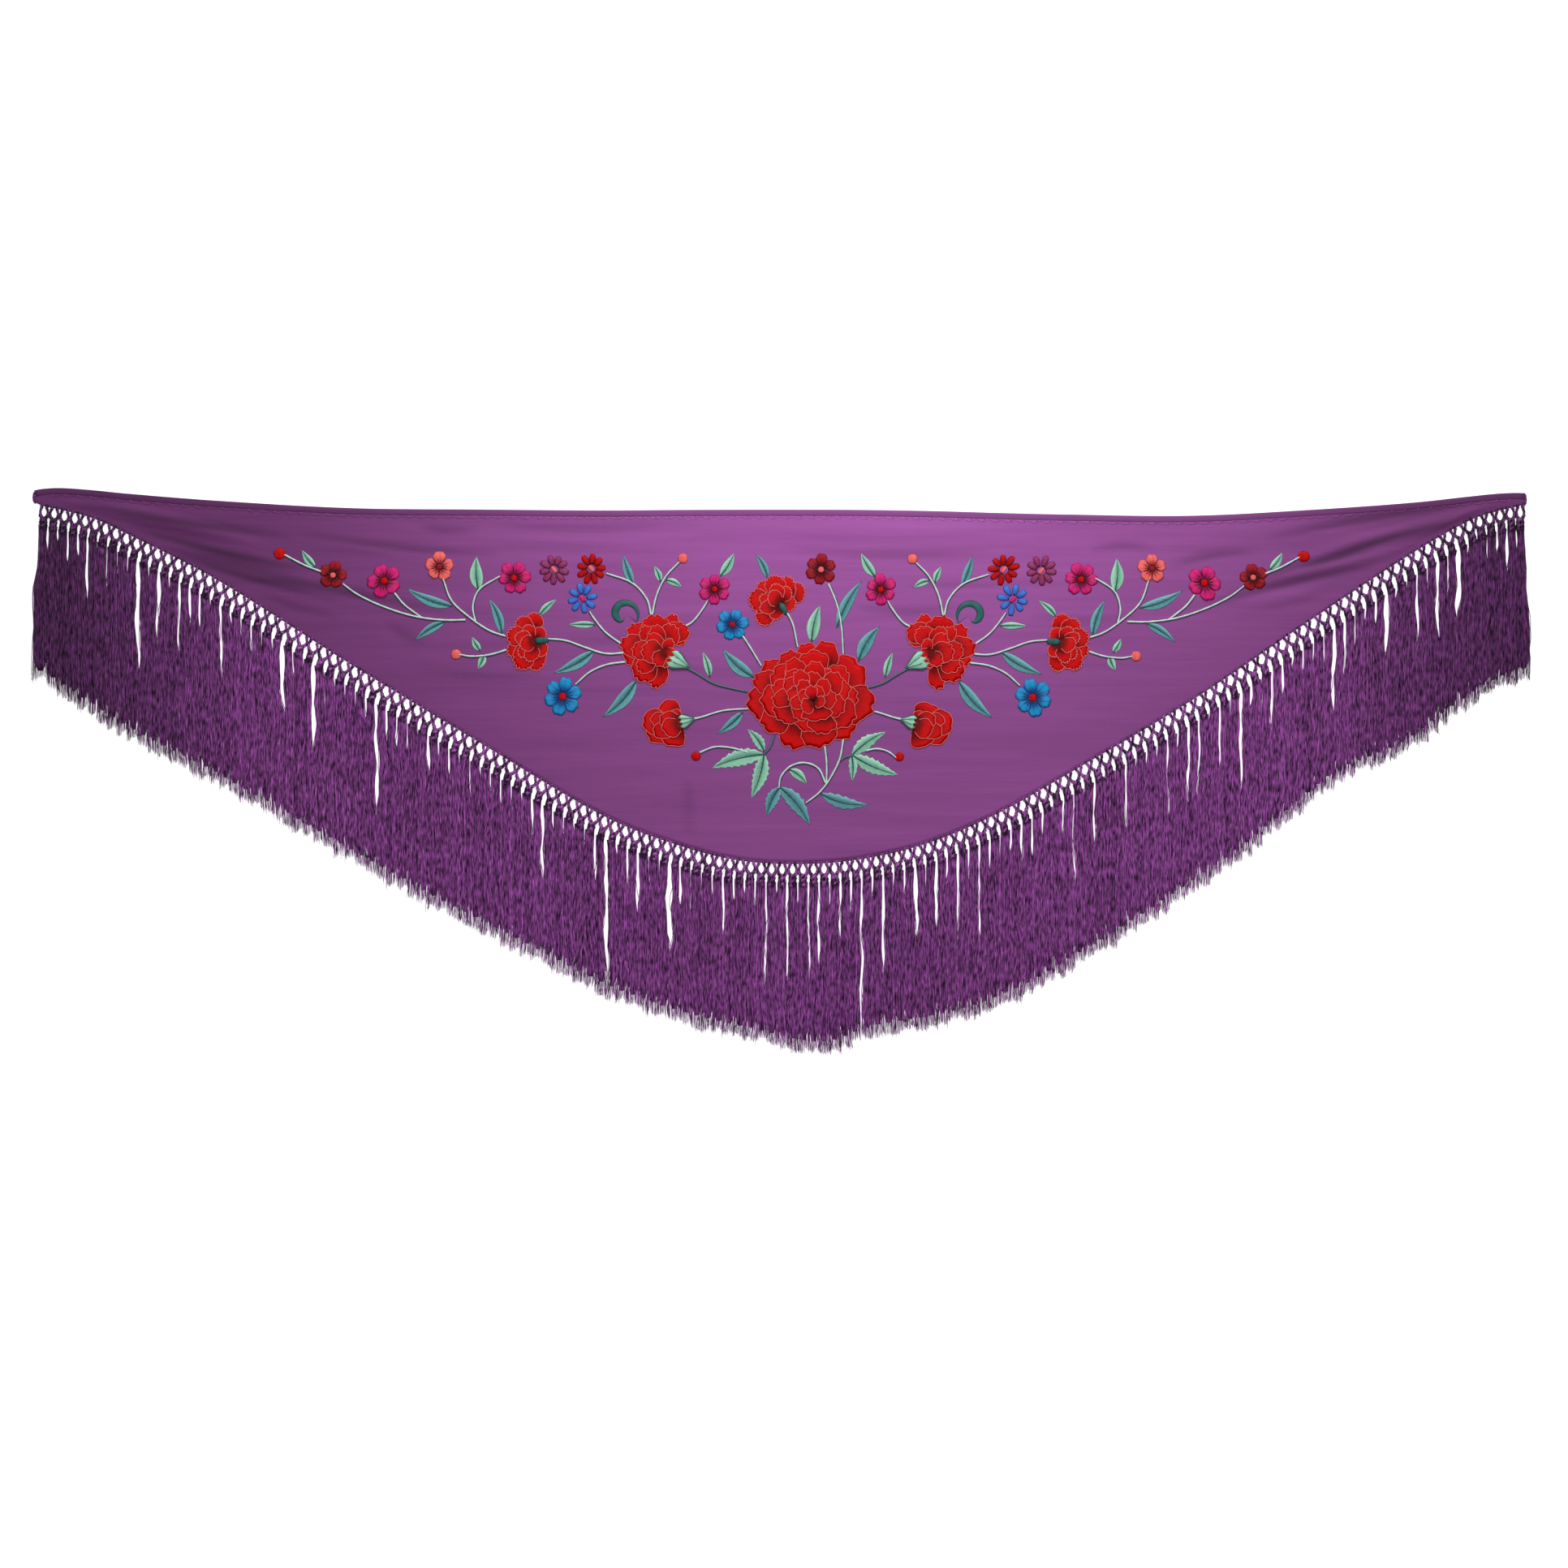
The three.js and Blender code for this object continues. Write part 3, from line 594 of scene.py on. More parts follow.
@dataclass
class Patchwork:
    """Meshes that are gathered into one piece, with their thread coordinates and tones."""

    points: list[np.ndarray] = field(default_factory=list)
    faces: list[tuple[int, ...]] = field(default_factory=list)
    uvs: list[np.ndarray] = field(default_factory=list)
    tones: list[np.ndarray] = field(default_factory=list)
    count: int = 0

    def add(self, points: np.ndarray, faces: Iterable[tuple[int, ...]], uvs: np.ndarray,
            tones: np.ndarray) -> None:
        """Add one closed mesh, whose faces count its own points from 0.

        Args:
            points: Its points, in millimetres.
            faces: Its faces.
            uvs: Thread coordinates of its points.
            tones: Tones of its points.
        """
        self.faces.extend(tuple(int(i) + self.count for i in face) for face in faces)
        self.points.append(points)
        self.uvs.append(uvs)
        self.tones.append(tones)
        self.count += len(points)

    def piece(self, name: str, material: bpy.types.Material) -> bpy.types.Object:
        """Make the piece from what was gathered.

        Args:
            name: The piece's name.
            material: Its finish.

        Returns:
            The new object, in metres.
        """
        mesh = bpy.data.meshes.new(name)
        mesh.from_pydata((np.concatenate(self.points) * MM).tolist(), [], self.faces)
        corners = np.empty(len(mesh.loops), np.int32)
        mesh.loops.foreach_get("vertex_index", corners)
        layer = mesh.uv_layers.new(name="thread")
        layer.data.foreach_set("uv", np.concatenate(self.uvs)[corners].astype(np.float32).ravel())
        tone = mesh.attributes.new("tone", "FLOAT", "POINT")
        tone.data.foreach_set("value", np.concatenate(self.tones).astype(np.float32))
        mesh.shade_smooth()
        mesh.materials.append(material)
        made = bpy.data.objects.new(name, mesh)
        bpy.context.scene.collection.objects.link(made)
        return made


def fit(made: bpy.types.Object, slot: str, *nodes: str) -> bpy.types.Object:
    """Let a piece ride on the shawl and stand for its solids.

    Args:
        made: The piece.
        slot: Its material slot; not used.
        nodes: The solids.

    Returns:
        The piece.
    """
    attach(made, BODY)
    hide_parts(*nodes)
    faces = sum(len(face.vertices) - 2 for face in made.data.polygons)
    log.info("%s: %d triangles", made.name, faces)
    return made


def preset(node: bpy.types.Node, values: dict[str | int, object]) -> None:
    """Set the inputs of a node by name or number."""
    for entry, value in values.items():
        node.inputs[entry].default_value = value


class NodeTree:
    """A small helper that adds and joins the nodes of one tree."""

    def __init__(self, tree: bpy.types.NodeTree) -> None:
        """Keep the tree."""
        self.tree = tree

    def add(self, kind: str, **values: object) -> bpy.types.Node:
        """Add a node and set its properties and the values of its inputs by name.

        Args:
            kind: The node's type.
            values: Its properties and inputs.

        Returns:
            The node.
        """
        node = self.tree.nodes.new(kind)
        for name, value in values.items():
            if hasattr(node, name):
                setattr(node, name, value)
            else:
                node.inputs[name.replace("_", " ").title()].default_value = value
        return node

    def join(self, source: bpy.types.Node, output: str | int, target: bpy.types.Node,
             entry: str | int) -> None:
        """Join an output of one node to an input of another."""
        self.tree.links.new(source.outputs[output], target.inputs[entry])


class Sweeper:
    """Geometry Nodes that turn lines of points into round threads."""

    def __init__(self) -> None:
        """Build the tree, with named inputs for the section's sides and its thickness."""
        tree = bpy.data.node_groups.new("thread_along_line", "GeometryNodeTree")
        face = tree.interface
        face.new_socket("Geometry", in_out="INPUT", socket_type="NodeSocketGeometry")
        sides = face.new_socket("Sides", in_out="INPUT", socket_type="NodeSocketInt")
        scale = face.new_socket("Thickness", in_out="INPUT", socket_type="NodeSocketFloat")
        finish = face.new_socket("Finish", in_out="INPUT", socket_type="NodeSocketMaterial")
        face.new_socket("Geometry", in_out="OUTPUT", socket_type="NodeSocketGeometry")
        self.tree = tree
        self.inputs = (sides.identifier, scale.identifier, finish.identifier)
        nodes = NodeTree(tree)
        start = nodes.add("NodeGroupInput")
        end = nodes.add("NodeGroupOutput")
        curve = nodes.add("GeometryNodeMeshToCurve")
        circle = nodes.add("GeometryNodeCurvePrimitiveCircle")
        preset(circle, {"Radius": 1.0})
        radius = nodes.add("GeometryNodeInputNamedAttribute", data_type="FLOAT")
        preset(radius, {"Name": "radius"})
        grow = nodes.add("ShaderNodeMath", operation="MULTIPLY")
        sweep = nodes.add("GeometryNodeCurveToMesh")
        preset(sweep, {"Fill Caps": True})
        soft = nodes.add("GeometryNodeSetShadeSmooth")
        real = nodes.add("GeometryNodeRealizeInstances")
        dress = nodes.add("GeometryNodeSetMaterial")
        nodes.join(start, "Geometry", curve, "Mesh")
        nodes.join(start, "Sides", circle, "Resolution")
        nodes.join(radius, "Attribute", grow, 0)
        nodes.join(start, "Thickness", grow, 1)
        nodes.join(curve, "Curve", sweep, "Curve")
        nodes.join(circle, "Curve", sweep, "Profile Curve")
        nodes.join(grow, "Value", sweep, "Scale")
        nodes.join(sweep, "Mesh", soft, "Geometry")
        nodes.join(soft, "Geometry", real, "Geometry")
        nodes.join(real, "Geometry", dress, "Geometry")
        nodes.join(start, "Finish", dress, "Material")
        nodes.join(dress, "Geometry", end, "Geometry")

    def sweep(self, name: str, runs: Sequence[Run], sides: int,
              material: bpy.types.Material) -> bpy.types.Object:
        """Sweep threads along lines and join them into one piece.

        Args:
            name: The piece's name.
            runs: The lines, in millimetres.
            sides: Sides of a thread's section.
            material: The threads' finish.

        Returns:
            The new object, a plain mesh in metres.
        """
        counts = [len(run.points) for run in runs]
        starts = np.cumsum([0, *counts[:-1]])
        edges = np.concatenate([np.stack([np.arange(s, s + n - 1), np.arange(s + 1, s + n)], 1)
                                for s, n in zip(starts, counts)])
        lines = bpy.data.meshes.new(f"{name}_lines")
        lines.vertices.add(sum(counts))
        lines.vertices.foreach_set("co", (np.concatenate([r.points for r in runs]) * MM).ravel())
        lines.edges.add(len(edges))
        lines.edges.foreach_set("vertices", edges.astype(np.int32).ravel())
        for column_name, values in (("radius", [r.radius * MM for r in runs]),
                                    ("tone", [r.tone for r in runs])):
            made = lines.attributes.new(column_name, "FLOAT", "POINT")
            made.data.foreach_set("value", np.concatenate(values).astype(np.float32))
        lines.update()
        guide = bpy.data.objects.new(f"{name}_guide", lines)
        bpy.context.scene.collection.objects.link(guide)
        return bake(guide, name, self.tree, dict(zip(self.inputs, (sides, 1.0, material))))


def bake(guide: bpy.types.Object, name: str, tree: bpy.types.NodeTree,
         inputs: dict[str, object]) -> bpy.types.Object:
    """Run a node tree on a guide and keep the result as a plain mesh.

    Args:
        guide: The object that the tree works on, which is deleted afterwards.
        name: The new piece's name.
        tree: The tree.
        inputs: The tree's inputs by socket identifier.

    Returns:
        The new object.
    """
    modifier = guide.modifiers.new("make", "NODES")
    modifier.node_group = tree
    for identifier, value in inputs.items():
        modifier[identifier] = value
    evaluated = guide.evaluated_get(bpy.context.evaluated_depsgraph_get())
    mesh = bpy.data.meshes.new_from_object(evaluated)
    mesh.name = name
    made = bpy.data.objects.new(name, mesh)
    guide.modifiers.remove(modifier)
    bpy.data.objects.remove(guide)
    bpy.context.scene.collection.objects.link(made)
    return made


class StitchRow:
    """Geometry Nodes that lay small stitches along a line, each turned to follow it."""

    def __init__(self) -> None:
        """Build the tree, with named inputs for spacing, size, slant and seed."""
        tree = bpy.data.node_groups.new("stitches_along_line", "GeometryNodeTree")
        face = tree.interface
        face.new_socket("Geometry", in_out="INPUT", socket_type="NodeSocketGeometry")
        sockets = [face.new_socket(label, in_out="INPUT", socket_type=kind) for label, kind in (
            ("Spacing", "NodeSocketFloat"), ("Size", "NodeSocketVector"),
            ("Slant", "NodeSocketFloat"), ("Seed", "NodeSocketInt"),
            ("Finish", "NodeSocketMaterial"))]
        face.new_socket("Geometry", in_out="OUTPUT", socket_type="NodeSocketGeometry")
        self.tree = tree
        self.inputs = tuple(socket.identifier for socket in sockets)
        nodes = NodeTree(tree)
        start = nodes.add("NodeGroupInput")
        end = nodes.add("NodeGroupOutput")
        curve = nodes.add("GeometryNodeMeshToCurve")
        even = nodes.add("GeometryNodeResampleCurve", mode="LENGTH")
        stitch = nodes.add("GeometryNodeMeshUVSphere")
        preset(stitch, {"Segments": 5, "Rings": 3, "Radius": 0.5})
        shape = nodes.add("GeometryNodeTransform")
        tangent = nodes.add("GeometryNodeInputTangent")
        follow = nodes.add("FunctionNodeAlignRotationToVector", axis="X")
        lean = nodes.add("FunctionNodeRotateRotation", rotation_space="LOCAL")
        angle = nodes.add("ShaderNodeCombineXYZ")
        jitter = nodes.add("FunctionNodeRandomValue", data_type="FLOAT")
        preset(jitter, {"Min": -0.12, "Max": 0.12})
        total = nodes.add("ShaderNodeMath", operation="ADD")
        lay = nodes.add("GeometryNodeInstanceOnPoints")
        soft = nodes.add("GeometryNodeSetShadeSmooth")
        real = nodes.add("GeometryNodeRealizeInstances")
        dress = nodes.add("GeometryNodeSetMaterial")
        nodes.join(start, "Geometry", curve, "Mesh")
        nodes.join(curve, "Curve", even, "Curve")
        nodes.join(start, "Spacing", even, "Length")
        nodes.join(even, "Curve", lay, "Points")
        nodes.join(stitch, "Mesh", shape, "Geometry")
        nodes.join(start, "Size", shape, "Scale")
        nodes.join(shape, "Geometry", lay, "Instance")
        nodes.join(tangent, "Tangent", follow, "Vector")
        nodes.join(follow, "Rotation", lean, "Rotation")
        nodes.join(start, "Seed", jitter, "Seed")
        nodes.join(start, "Slant", total, 0)
        nodes.join(jitter, 1, total, 1)
        nodes.join(total, "Value", angle, "Z")
        turn = nodes.add("FunctionNodeEulerToRotation")
        nodes.join(angle, "Vector", turn, "Euler")
        nodes.join(turn, "Rotation", lean, "Rotate By")
        nodes.join(lean, "Rotation", lay, "Rotation")
        nodes.join(lay, "Instances", soft, "Geometry")
        nodes.join(soft, "Geometry", real, "Geometry")
        nodes.join(real, "Geometry", dress, "Geometry")
        nodes.join(start, "Finish", dress, "Material")
        nodes.join(dress, "Geometry", end, "Geometry")

    def lay(self, name: str, line: np.ndarray, spacing: float, size: tuple[float, float, float],
            slant: float, material: bpy.types.Material) -> bpy.types.Object:
        """Lay stitches along a line.

        Args:
            name: The piece's name.
            line: The line's points, in millimetres.
            spacing: Distance from stitch to stitch, in millimetres.
            size: A stitch's length, width and height, in millimetres.
            slant: How far a stitch is turned from the line, in radians.
            material: The thread's finish.

        Returns:
            The new object.
        """
        guide_mesh = bpy.data.meshes.new(f"{name}_line")
        edges = [(i, i + 1) for i in range(len(line) - 1)]
        guide_mesh.from_pydata((line * MM).tolist(), edges, [])
        guide = bpy.data.objects.new(f"{name}_guide", guide_mesh)
        bpy.context.scene.collection.objects.link(guide)
        values = (spacing * MM, tuple(s * MM for s in size), slant, 7, material)
        return bake(guide, name, self.tree, dict(zip(self.inputs, values)))


@dataclass(frozen=True)
class CrepeFinish:
    """Dense crêpe: a fine pebbled grain, faint ripples and a soft sheen, with painted shade: darker
    towards both ends and the lower edge, faintly along the ripples, and in the troughs through the
    tone attribute.
    """

    # Painted shade: the middle colour falls to the lower one down the cloth, and to the shaded
    # corner one towards both ends, where the light falls off.
    middle: tuple[float, float, float, float] = linear(158, 84, 158)
    shaded_corner: tuple[float, float, float, float] = linear(104, 49, 103)
    lower: tuple[float, float, float, float] = linear(137, 71, 137)
    brightest_x: float = 0.1
    grain_per_metre: float = 1100.0
    grain_depth: float = 0.00025

    def material(self, name: str, darker: float = 1.0) -> bpy.types.Material:
        """Build the material.

        Args:
            name: The material's name.
            darker: Factor on its colours, for cloth that is folded double.

        Returns:
            The material.
        """
        made = bpy.data.materials.new(name)
        made.use_nodes = True
        nodes = NodeTree(made.node_tree)
        shader = made.node_tree.nodes["Principled BSDF"]
        preset(shader, {"Roughness": 0.78, "Specular IOR Level": 0.22, "Sheen Weight": 0.2,
                        "Sheen Roughness": 0.45, "Sheen Tint": linear(214, 170, 222)})
        place = nodes.add("ShaderNodeTexCoord")
        split = nodes.add("ShaderNodeSeparateXYZ")
        nodes.join(place, "Object", split, "Vector")
        # Painted shade: darker away from the brightest place along X and towards the lower edge.
        brightest = nodes.add("ShaderNodeMath", operation="SUBTRACT")
        preset(brightest, {1: self.brightest_x})
        nodes.join(split, "X", brightest, 0)
        away = nodes.add("ShaderNodeMath", operation="ABSOLUTE")
        nodes.join(brightest, "Value", away, 0)
        ends = nodes.add("ShaderNodeMapRange", interpolation_type="SMOOTHSTEP")
        preset(ends, {"From Min": 0.08, "From Max": 0.76})
        nodes.join(away, "Value", ends, "Value")
        down = nodes.add("ShaderNodeMapRange", interpolation_type="SMOOTHSTEP")
        preset(down, {"From Min": 0.27, "From Max": 0.02})
        nodes.join(split, "Y", down, "Value")
        tall = nodes.add("ShaderNodeMix", data_type="RGBA")
        preset(tall, {"A": tuple(c * darker for c in self.middle[:3]) + (1,),
                      "B": tuple(c * darker for c in self.lower[:3]) + (1,)})
        nodes.join(down, "Result", tall, "Factor")
        wide = nodes.add("ShaderNodeMix", data_type="RGBA")
        preset(wide, {"B": tuple(c * darker for c in self.shaded_corner[:3]) + (1,)})
        nodes.join(tall, "Result", wide, "A")
        nodes.join(ends, "Result", wide, "Factor")
        stretch = nodes.add("ShaderNodeMapping")
        preset(stretch, {"Scale": (3.0, 34.0, 30.0)})
        nodes.join(place, "Object", stretch, "Vector")
        ripple = nodes.add("ShaderNodeTexNoise")
        preset(ripple, {"Scale": 1.6, "Detail": 3.0})
        nodes.join(stretch, "Vector", ripple, "Vector")
        grain = nodes.add("ShaderNodeTexNoise")
        preset(grain, {"Scale": self.grain_per_metre, "Detail": 2.0})
        nodes.join(place, "Object", grain, "Vector")
        # The ripple noise lightens and darkens the colour by a few percent, in step with the bumped
        # ripples: painted shade. The tone attribute brings in the troughs' painted shade.
        ripple_shade = nodes.add("ShaderNodeMapRange")
        preset(ripple_shade, {"From Min": 0.3, "From Max": 0.7, "To Min": 0.93, "To Max": 1.07})
        nodes.join(ripple, "Fac", ripple_shade, "Value")
        tone = nodes.add("ShaderNodeAttribute", attribute_name="tone")
        depth = nodes.add("ShaderNodeMath", operation="MULTIPLY")
        nodes.join(ripple_shade, "Result", depth, 0)
        nodes.join(tone, "Fac", depth, 1)
        tint = nodes.add("ShaderNodeVectorMath", operation="SCALE")
        nodes.join(wide, "Result", tint, "Vector")
        nodes.join(depth, "Value", tint, "Scale")
        nodes.join(tint, "Vector", shader, "Base Color")
        wave = nodes.add("ShaderNodeBump")
        preset(wave, {"Strength": 0.35, "Distance": 0.004})
        nodes.join(ripple, "Fac", wave, "Height")
        fine = nodes.add("ShaderNodeBump")
        preset(fine, {"Strength": 0.5, "Distance": self.grain_depth})
        nodes.join(grain, "Fac", fine, "Height")
        nodes.join(wave, "Normal", fine, "Normal")
        nodes.join(fine, "Normal", shader, "Normal")
        return made


@dataclass(frozen=True)
class FringeFinish:
    """Twisted silk threads with a satin sheen, each a little lighter or darker, and with painted
    shade that darkens them towards both ends of the fringe.
    """

    light: tuple[float, float, float, float] = linear(200, 106, 207)
    dark: tuple[float, float, float, float] = linear(38, 11, 43)
    flecks_per_metre: float = 520.0
    shaded_ends_from: float = 0.5
    shaded_ends_factor: float = 0.42

    def material(self, name: str) -> bpy.types.Material:
        """Build the material.

        Args:
            name: The material's name.

        Returns:
            The material.
        """
        made = bpy.data.materials.new(name)
        made.use_nodes = True
        nodes = NodeTree(made.node_tree)
        shader = made.node_tree.nodes["Principled BSDF"]
        preset(shader, {"Roughness": 0.5, "Specular IOR Level": 0.22})
        tone = nodes.add("ShaderNodeAttribute", attribute_name="tone")
        place = nodes.add("ShaderNodeTexCoord")
        split = nodes.add("ShaderNodeSeparateXYZ")
        nodes.join(place, "Object", split, "Vector")
        away = nodes.add("ShaderNodeMath", operation="ABSOLUTE")
        nodes.join(split, "X", away, 0)
        # Painted shade: the colour falls towards both ends of the fringe, where the light falls
        # off.
        ends = nodes.add("ShaderNodeMapRange", interpolation_type="SMOOTHSTEP")
        preset(ends, {"From Min": self.shaded_ends_from, "From Max": 0.8, "To Min": 1.0,
                      "To Max": self.shaded_ends_factor})
        nodes.join(away, "Value", ends, "Value")
        stretch = nodes.add("ShaderNodeMapping")
        preset(stretch, {"Scale": (1.0, 0.24, 1.0)})
        nodes.join(place, "Object", stretch, "Vector")
        fleck = nodes.add("ShaderNodeTexNoise")
        preset(fleck, {"Scale": self.flecks_per_metre, "Detail": 1.0})
        nodes.join(stretch, "Vector", fleck, "Vector")
        shift = nodes.add("ShaderNodeMapRange")
        preset(shift, {"From Min": 0.3, "From Max": 0.7, "To Min": -0.4, "To Max": 0.4})
        nodes.join(fleck, "Fac", shift, "Value")
        total = nodes.add("ShaderNodeMath", operation="ADD", use_clamp=True)
        nodes.join(tone, "Fac", total, 0)
        nodes.join(shift, "Result", total, 1)
        mix = nodes.add("ShaderNodeMix", data_type="RGBA")
        preset(mix, {"A": self.dark, "B": self.light})
        nodes.join(total, "Value", mix, "Factor")
        tint = nodes.add("ShaderNodeVectorMath", operation="SCALE")
        nodes.join(mix, "Result", tint, "Vector")
        nodes.join(ends, "Result", tint, "Scale")
        nodes.join(tint, "Vector", shader, "Base Color")
        bump = nodes.add("ShaderNodeBump")
        preset(bump, {"Strength": 0.4, "Distance": 0.0002})
        nodes.join(fleck, "Fac", bump, "Height")
        nodes.join(bump, "Normal", shader, "Normal")
        return made


@dataclass(frozen=True)
class SilkFinish:
    """Satin-stitched silk in one colour, deeper where its tone is low: where the stitches dive into
    the cloth, and where the shapes paint shade, as at petals' feet under the petals above and
    beside leaf veins.
    """

    slot: str
    light: tuple[float, float, float, float]
    deep: tuple[float, float, float, float]
    gloss: float = 0.4

    def material(self, name: str) -> bpy.types.Material:
        """Build the material.

        Args:
            name: The material's name.

        Returns:
            The material.
        """
        made = bpy.data.materials.new(name)
        made.use_nodes = True
        nodes = NodeTree(made.node_tree)
        shader = made.node_tree.nodes["Principled BSDF"]
        preset(shader, {"Roughness": 0.46, "Specular IOR Level": self.gloss, "Sheen Weight": 0.04,
                        "Sheen Roughness": 0.35})
        tone = nodes.add("ShaderNodeAttribute", attribute_name="tone")
        thread = nodes.add("ShaderNodeUVMap", uv_map="thread")
        stretch = nodes.add("ShaderNodeMapping")
        preset(stretch, {"Scale": (1.0, 0.12, 1.0)})
        nodes.join(thread, "UV", stretch, "Vector")
        streak = nodes.add("ShaderNodeTexNoise")
        preset(streak, {"Scale": 1.1, "Detail": 2.0})
        nodes.join(stretch, "Vector", streak, "Vector")
        shift = nodes.add("ShaderNodeMapRange")
        preset(shift, {"From Min": 0.3, "From Max": 0.7, "To Min": -0.22, "To Max": 0.22})
        nodes.join(streak, "Fac", shift, "Value")
        total = nodes.add("ShaderNodeMath", operation="ADD", use_clamp=True)
        nodes.join(tone, "Fac", total, 0)
        nodes.join(shift, "Result", total, 1)
        mix = nodes.add("ShaderNodeMix", data_type="RGBA")
        preset(mix, {"A": self.deep, "B": self.light})
        nodes.join(total, "Value", mix, "Factor")
        nodes.join(mix, "Result", shader, "Base Color")
        ridge = nodes.add("ShaderNodeTexWave", wave_type="BANDS", bands_direction="X")
        preset(ridge, {"Scale": 0.314, "Distortion": 0.6})
        nodes.join(thread, "UV", ridge, "Vector")
        bump = nodes.add("ShaderNodeBump")
        preset(bump, {"Strength": 0.4, "Distance": 0.0003})
        nodes.join(ridge, "Fac", bump, "Height")
        nodes.join(bump, "Normal", shader, "Normal")
        return made


SILKS = {
    Dye.RED: SilkFinish("thread_red", linear(208, 2, 5), linear(92, 0, 5), 0.12),
    Dye.CRIMSON: SilkFinish("thread_red", linear(158, 6, 26), linear(84, 0, 12), 0.2),
    Dye.CORAL: SilkFinish("thread_coral", linear(242, 108, 104), linear(190, 56, 58), 0.25),
    Dye.MAGENTA: SilkFinish("thread_magenta", linear(216, 20, 118), linear(124, 4, 66), 0.25),
    Dye.PLUM: SilkFinish("thread_magenta", linear(152, 34, 100), linear(104, 20, 70)),
    Dye.BLUE: SilkFinish("thread_blue", linear(22, 146, 206), linear(8, 62, 132), 0.25),
    Dye.CORNFLOWER: SilkFinish("thread_blue", linear(58, 122, 214), linear(24, 70, 168)),
    Dye.MINT: SilkFinish("thread_green", linear(168, 222, 194), linear(82, 150, 124)),
    Dye.TEAL: SilkFinish("thread_green", linear(112, 178, 180), linear(40, 104, 118)),
    Dye.PINE: SilkFinish("thread_green", linear(22, 96, 92), linear(10, 58, 60)),
    Dye.SAGE: SilkFinish("thread_green", linear(206, 226, 218), linear(110, 150, 140)),
    Dye.SLATE: SilkFinish("thread_green", linear(78, 108, 116), linear(40, 60, 74)),
}


@dataclass
class Cloth:
    """The crêpe triangle with its folded hem and its rolled, fringed edge."""

    wall: float = 0.7
    rest: float = 1.25
    hem_width: float = 7.0
    hem_height: float = 1.9
    roll_width: float = 2.6
    roll_height: float = 2.4
    seam_gap: float = 0.3
    columns: int = 200
    rows: int = 76
    scallop_pitch: float = 14.0
    scallop_depth: float = 2.2
    hem_reach: float = 798.5
    stitched_reach: float = 780.0
    whip_pitch: float = 3.4
    whip_lean: float = 0.6
    fold_shade: float = 0.48
    darkest: float = 0.42
    doubled: float = 0.74
    finish: CrepeFinish = field(default_factory=CrepeFinish)

    def top(self, x: np.ndarray, y: np.ndarray) -> np.ndarray:
        """Height of the cloth's upper face.

        Args:
            x: The places' X.
            y: The places' Y.

        Returns:
            The height at each place.
        """
        x, y = np.asarray(x, float), np.asarray(y, float)
        height = np.zeros(np.broadcast(x, y).shape)
        for fold in FOLDS:
            along, beside = fold.at(x, y)
            side = 0.5 + 0.5 * np.cos(np.pi * np.clip(beside / fold.width, -1, 1))
            height += fold.height * side * np.sin(np.pi * along) ** 0.8
        ripple = np.sin(y / 2.9 + 1.8 * np.sin(x / 83) + x / 160) * np.sin(y / 11.0 - x / 47)
        height += 0.07 * ripple + 0.06 * np.sin(y / 6.1 + 2.2 * np.sin(x / 120 + 0.7))
        inside = ease((column(OUTLINE, "top", x) - y - 3) / 14) * ease(
            (y - column(OUTLINE, "low", x)) / 12)
        return self.rest + np.maximum(height * inside, -0.5)

    def shade(self, x: np.ndarray, y: np.ndarray) -> np.ndarray:
        """Darken the troughs, where the cloth shades itself.

        Args:
            x: The places' X.
            y: The places' Y.

        Returns:
            Factor on the colour at each place.
        """
        tone = np.ones(np.shape(x))
        for fold in FOLDS:
            if fold.height < 0:
                along, beside = fold.at(x, y)
                side = np.exp(-((1.8 * beside / fold.width) ** 2))
                tone += self.fold_shade * fold.height * side * np.sin(math.pi * along) ** 0.7
        return np.clip(tone, self.darkest, 1)

    def area(self) -> float:
        """Flat area of the cut, in square metres."""
        x = np.linspace(OUTLINE[0].x, OUTLINE[-1].x, 801)
        deep = column(OUTLINE, "top", x) - column(OUTLINE, "low", x)
        return float(np.sum((deep[1:] + deep[:-1]) / 2 * np.diff(x))) * MM * MM

    def build_panel(self) -> bpy.types.Object:
        """Build the cloth as a thin closed shell on its solid's form."""
        lines = np.sin(np.linspace(-1, 1, self.columns + 1) * 0.42 * math.pi)
        x = OUTLINE[-1].x * lines / lines[-1]
        upper = column(OUTLINE, "top", x) - self.hem_width + 1.0
        slope = np.gradient(column(OUTLINE, "low", x), x)
        lower = column(OUTLINE, "low", x) + (self.roll_width * 0.5) * np.hypot(1, slope)
        share = np.linspace(0, 1, self.rows + 1)
        grid_x = np.repeat(x[:, None], self.rows + 1, 1)
        grid_y = upper[:, None] + (lower - upper)[:, None] * share[None, :]
        high = self.top(grid_x, grid_y)
        low = np.maximum(high - self.wall, 0.12)
        flat = (grid_x.ravel(), grid_y.ravel())
        points = np.concatenate([np.stack([*flat, high.ravel()], 1),
                                 np.stack([*flat, low.ravel()], 1)])
        count = grid_x.size
        i, j = np.meshgrid(np.arange(self.columns), np.arange(self.rows), indexing="ij")
        a = (i * (self.rows + 1) + j).ravel()
        b = a + self.rows + 1
        top_faces = np.stack([a, a + 1, b + 1, b], 1)
        low_faces = top_faces[:, ::-1] + count
        rim = rim_of(self.columns, self.rows)[::-1]
        after = np.roll(rim, -1)
        walls = np.stack([rim + count, after + count, after, rim], 1)
        work = Patchwork()
        faces = np.concatenate([top_faces, low_faces, walls]).tolist()
        work.add(points, faces, points[:, :2] / 10, self.shade(points[:, 0], points[:, 1]))
        return fit(work.piece("crepe_panel", self.finish.material("crepe")), "crepe", "panel")

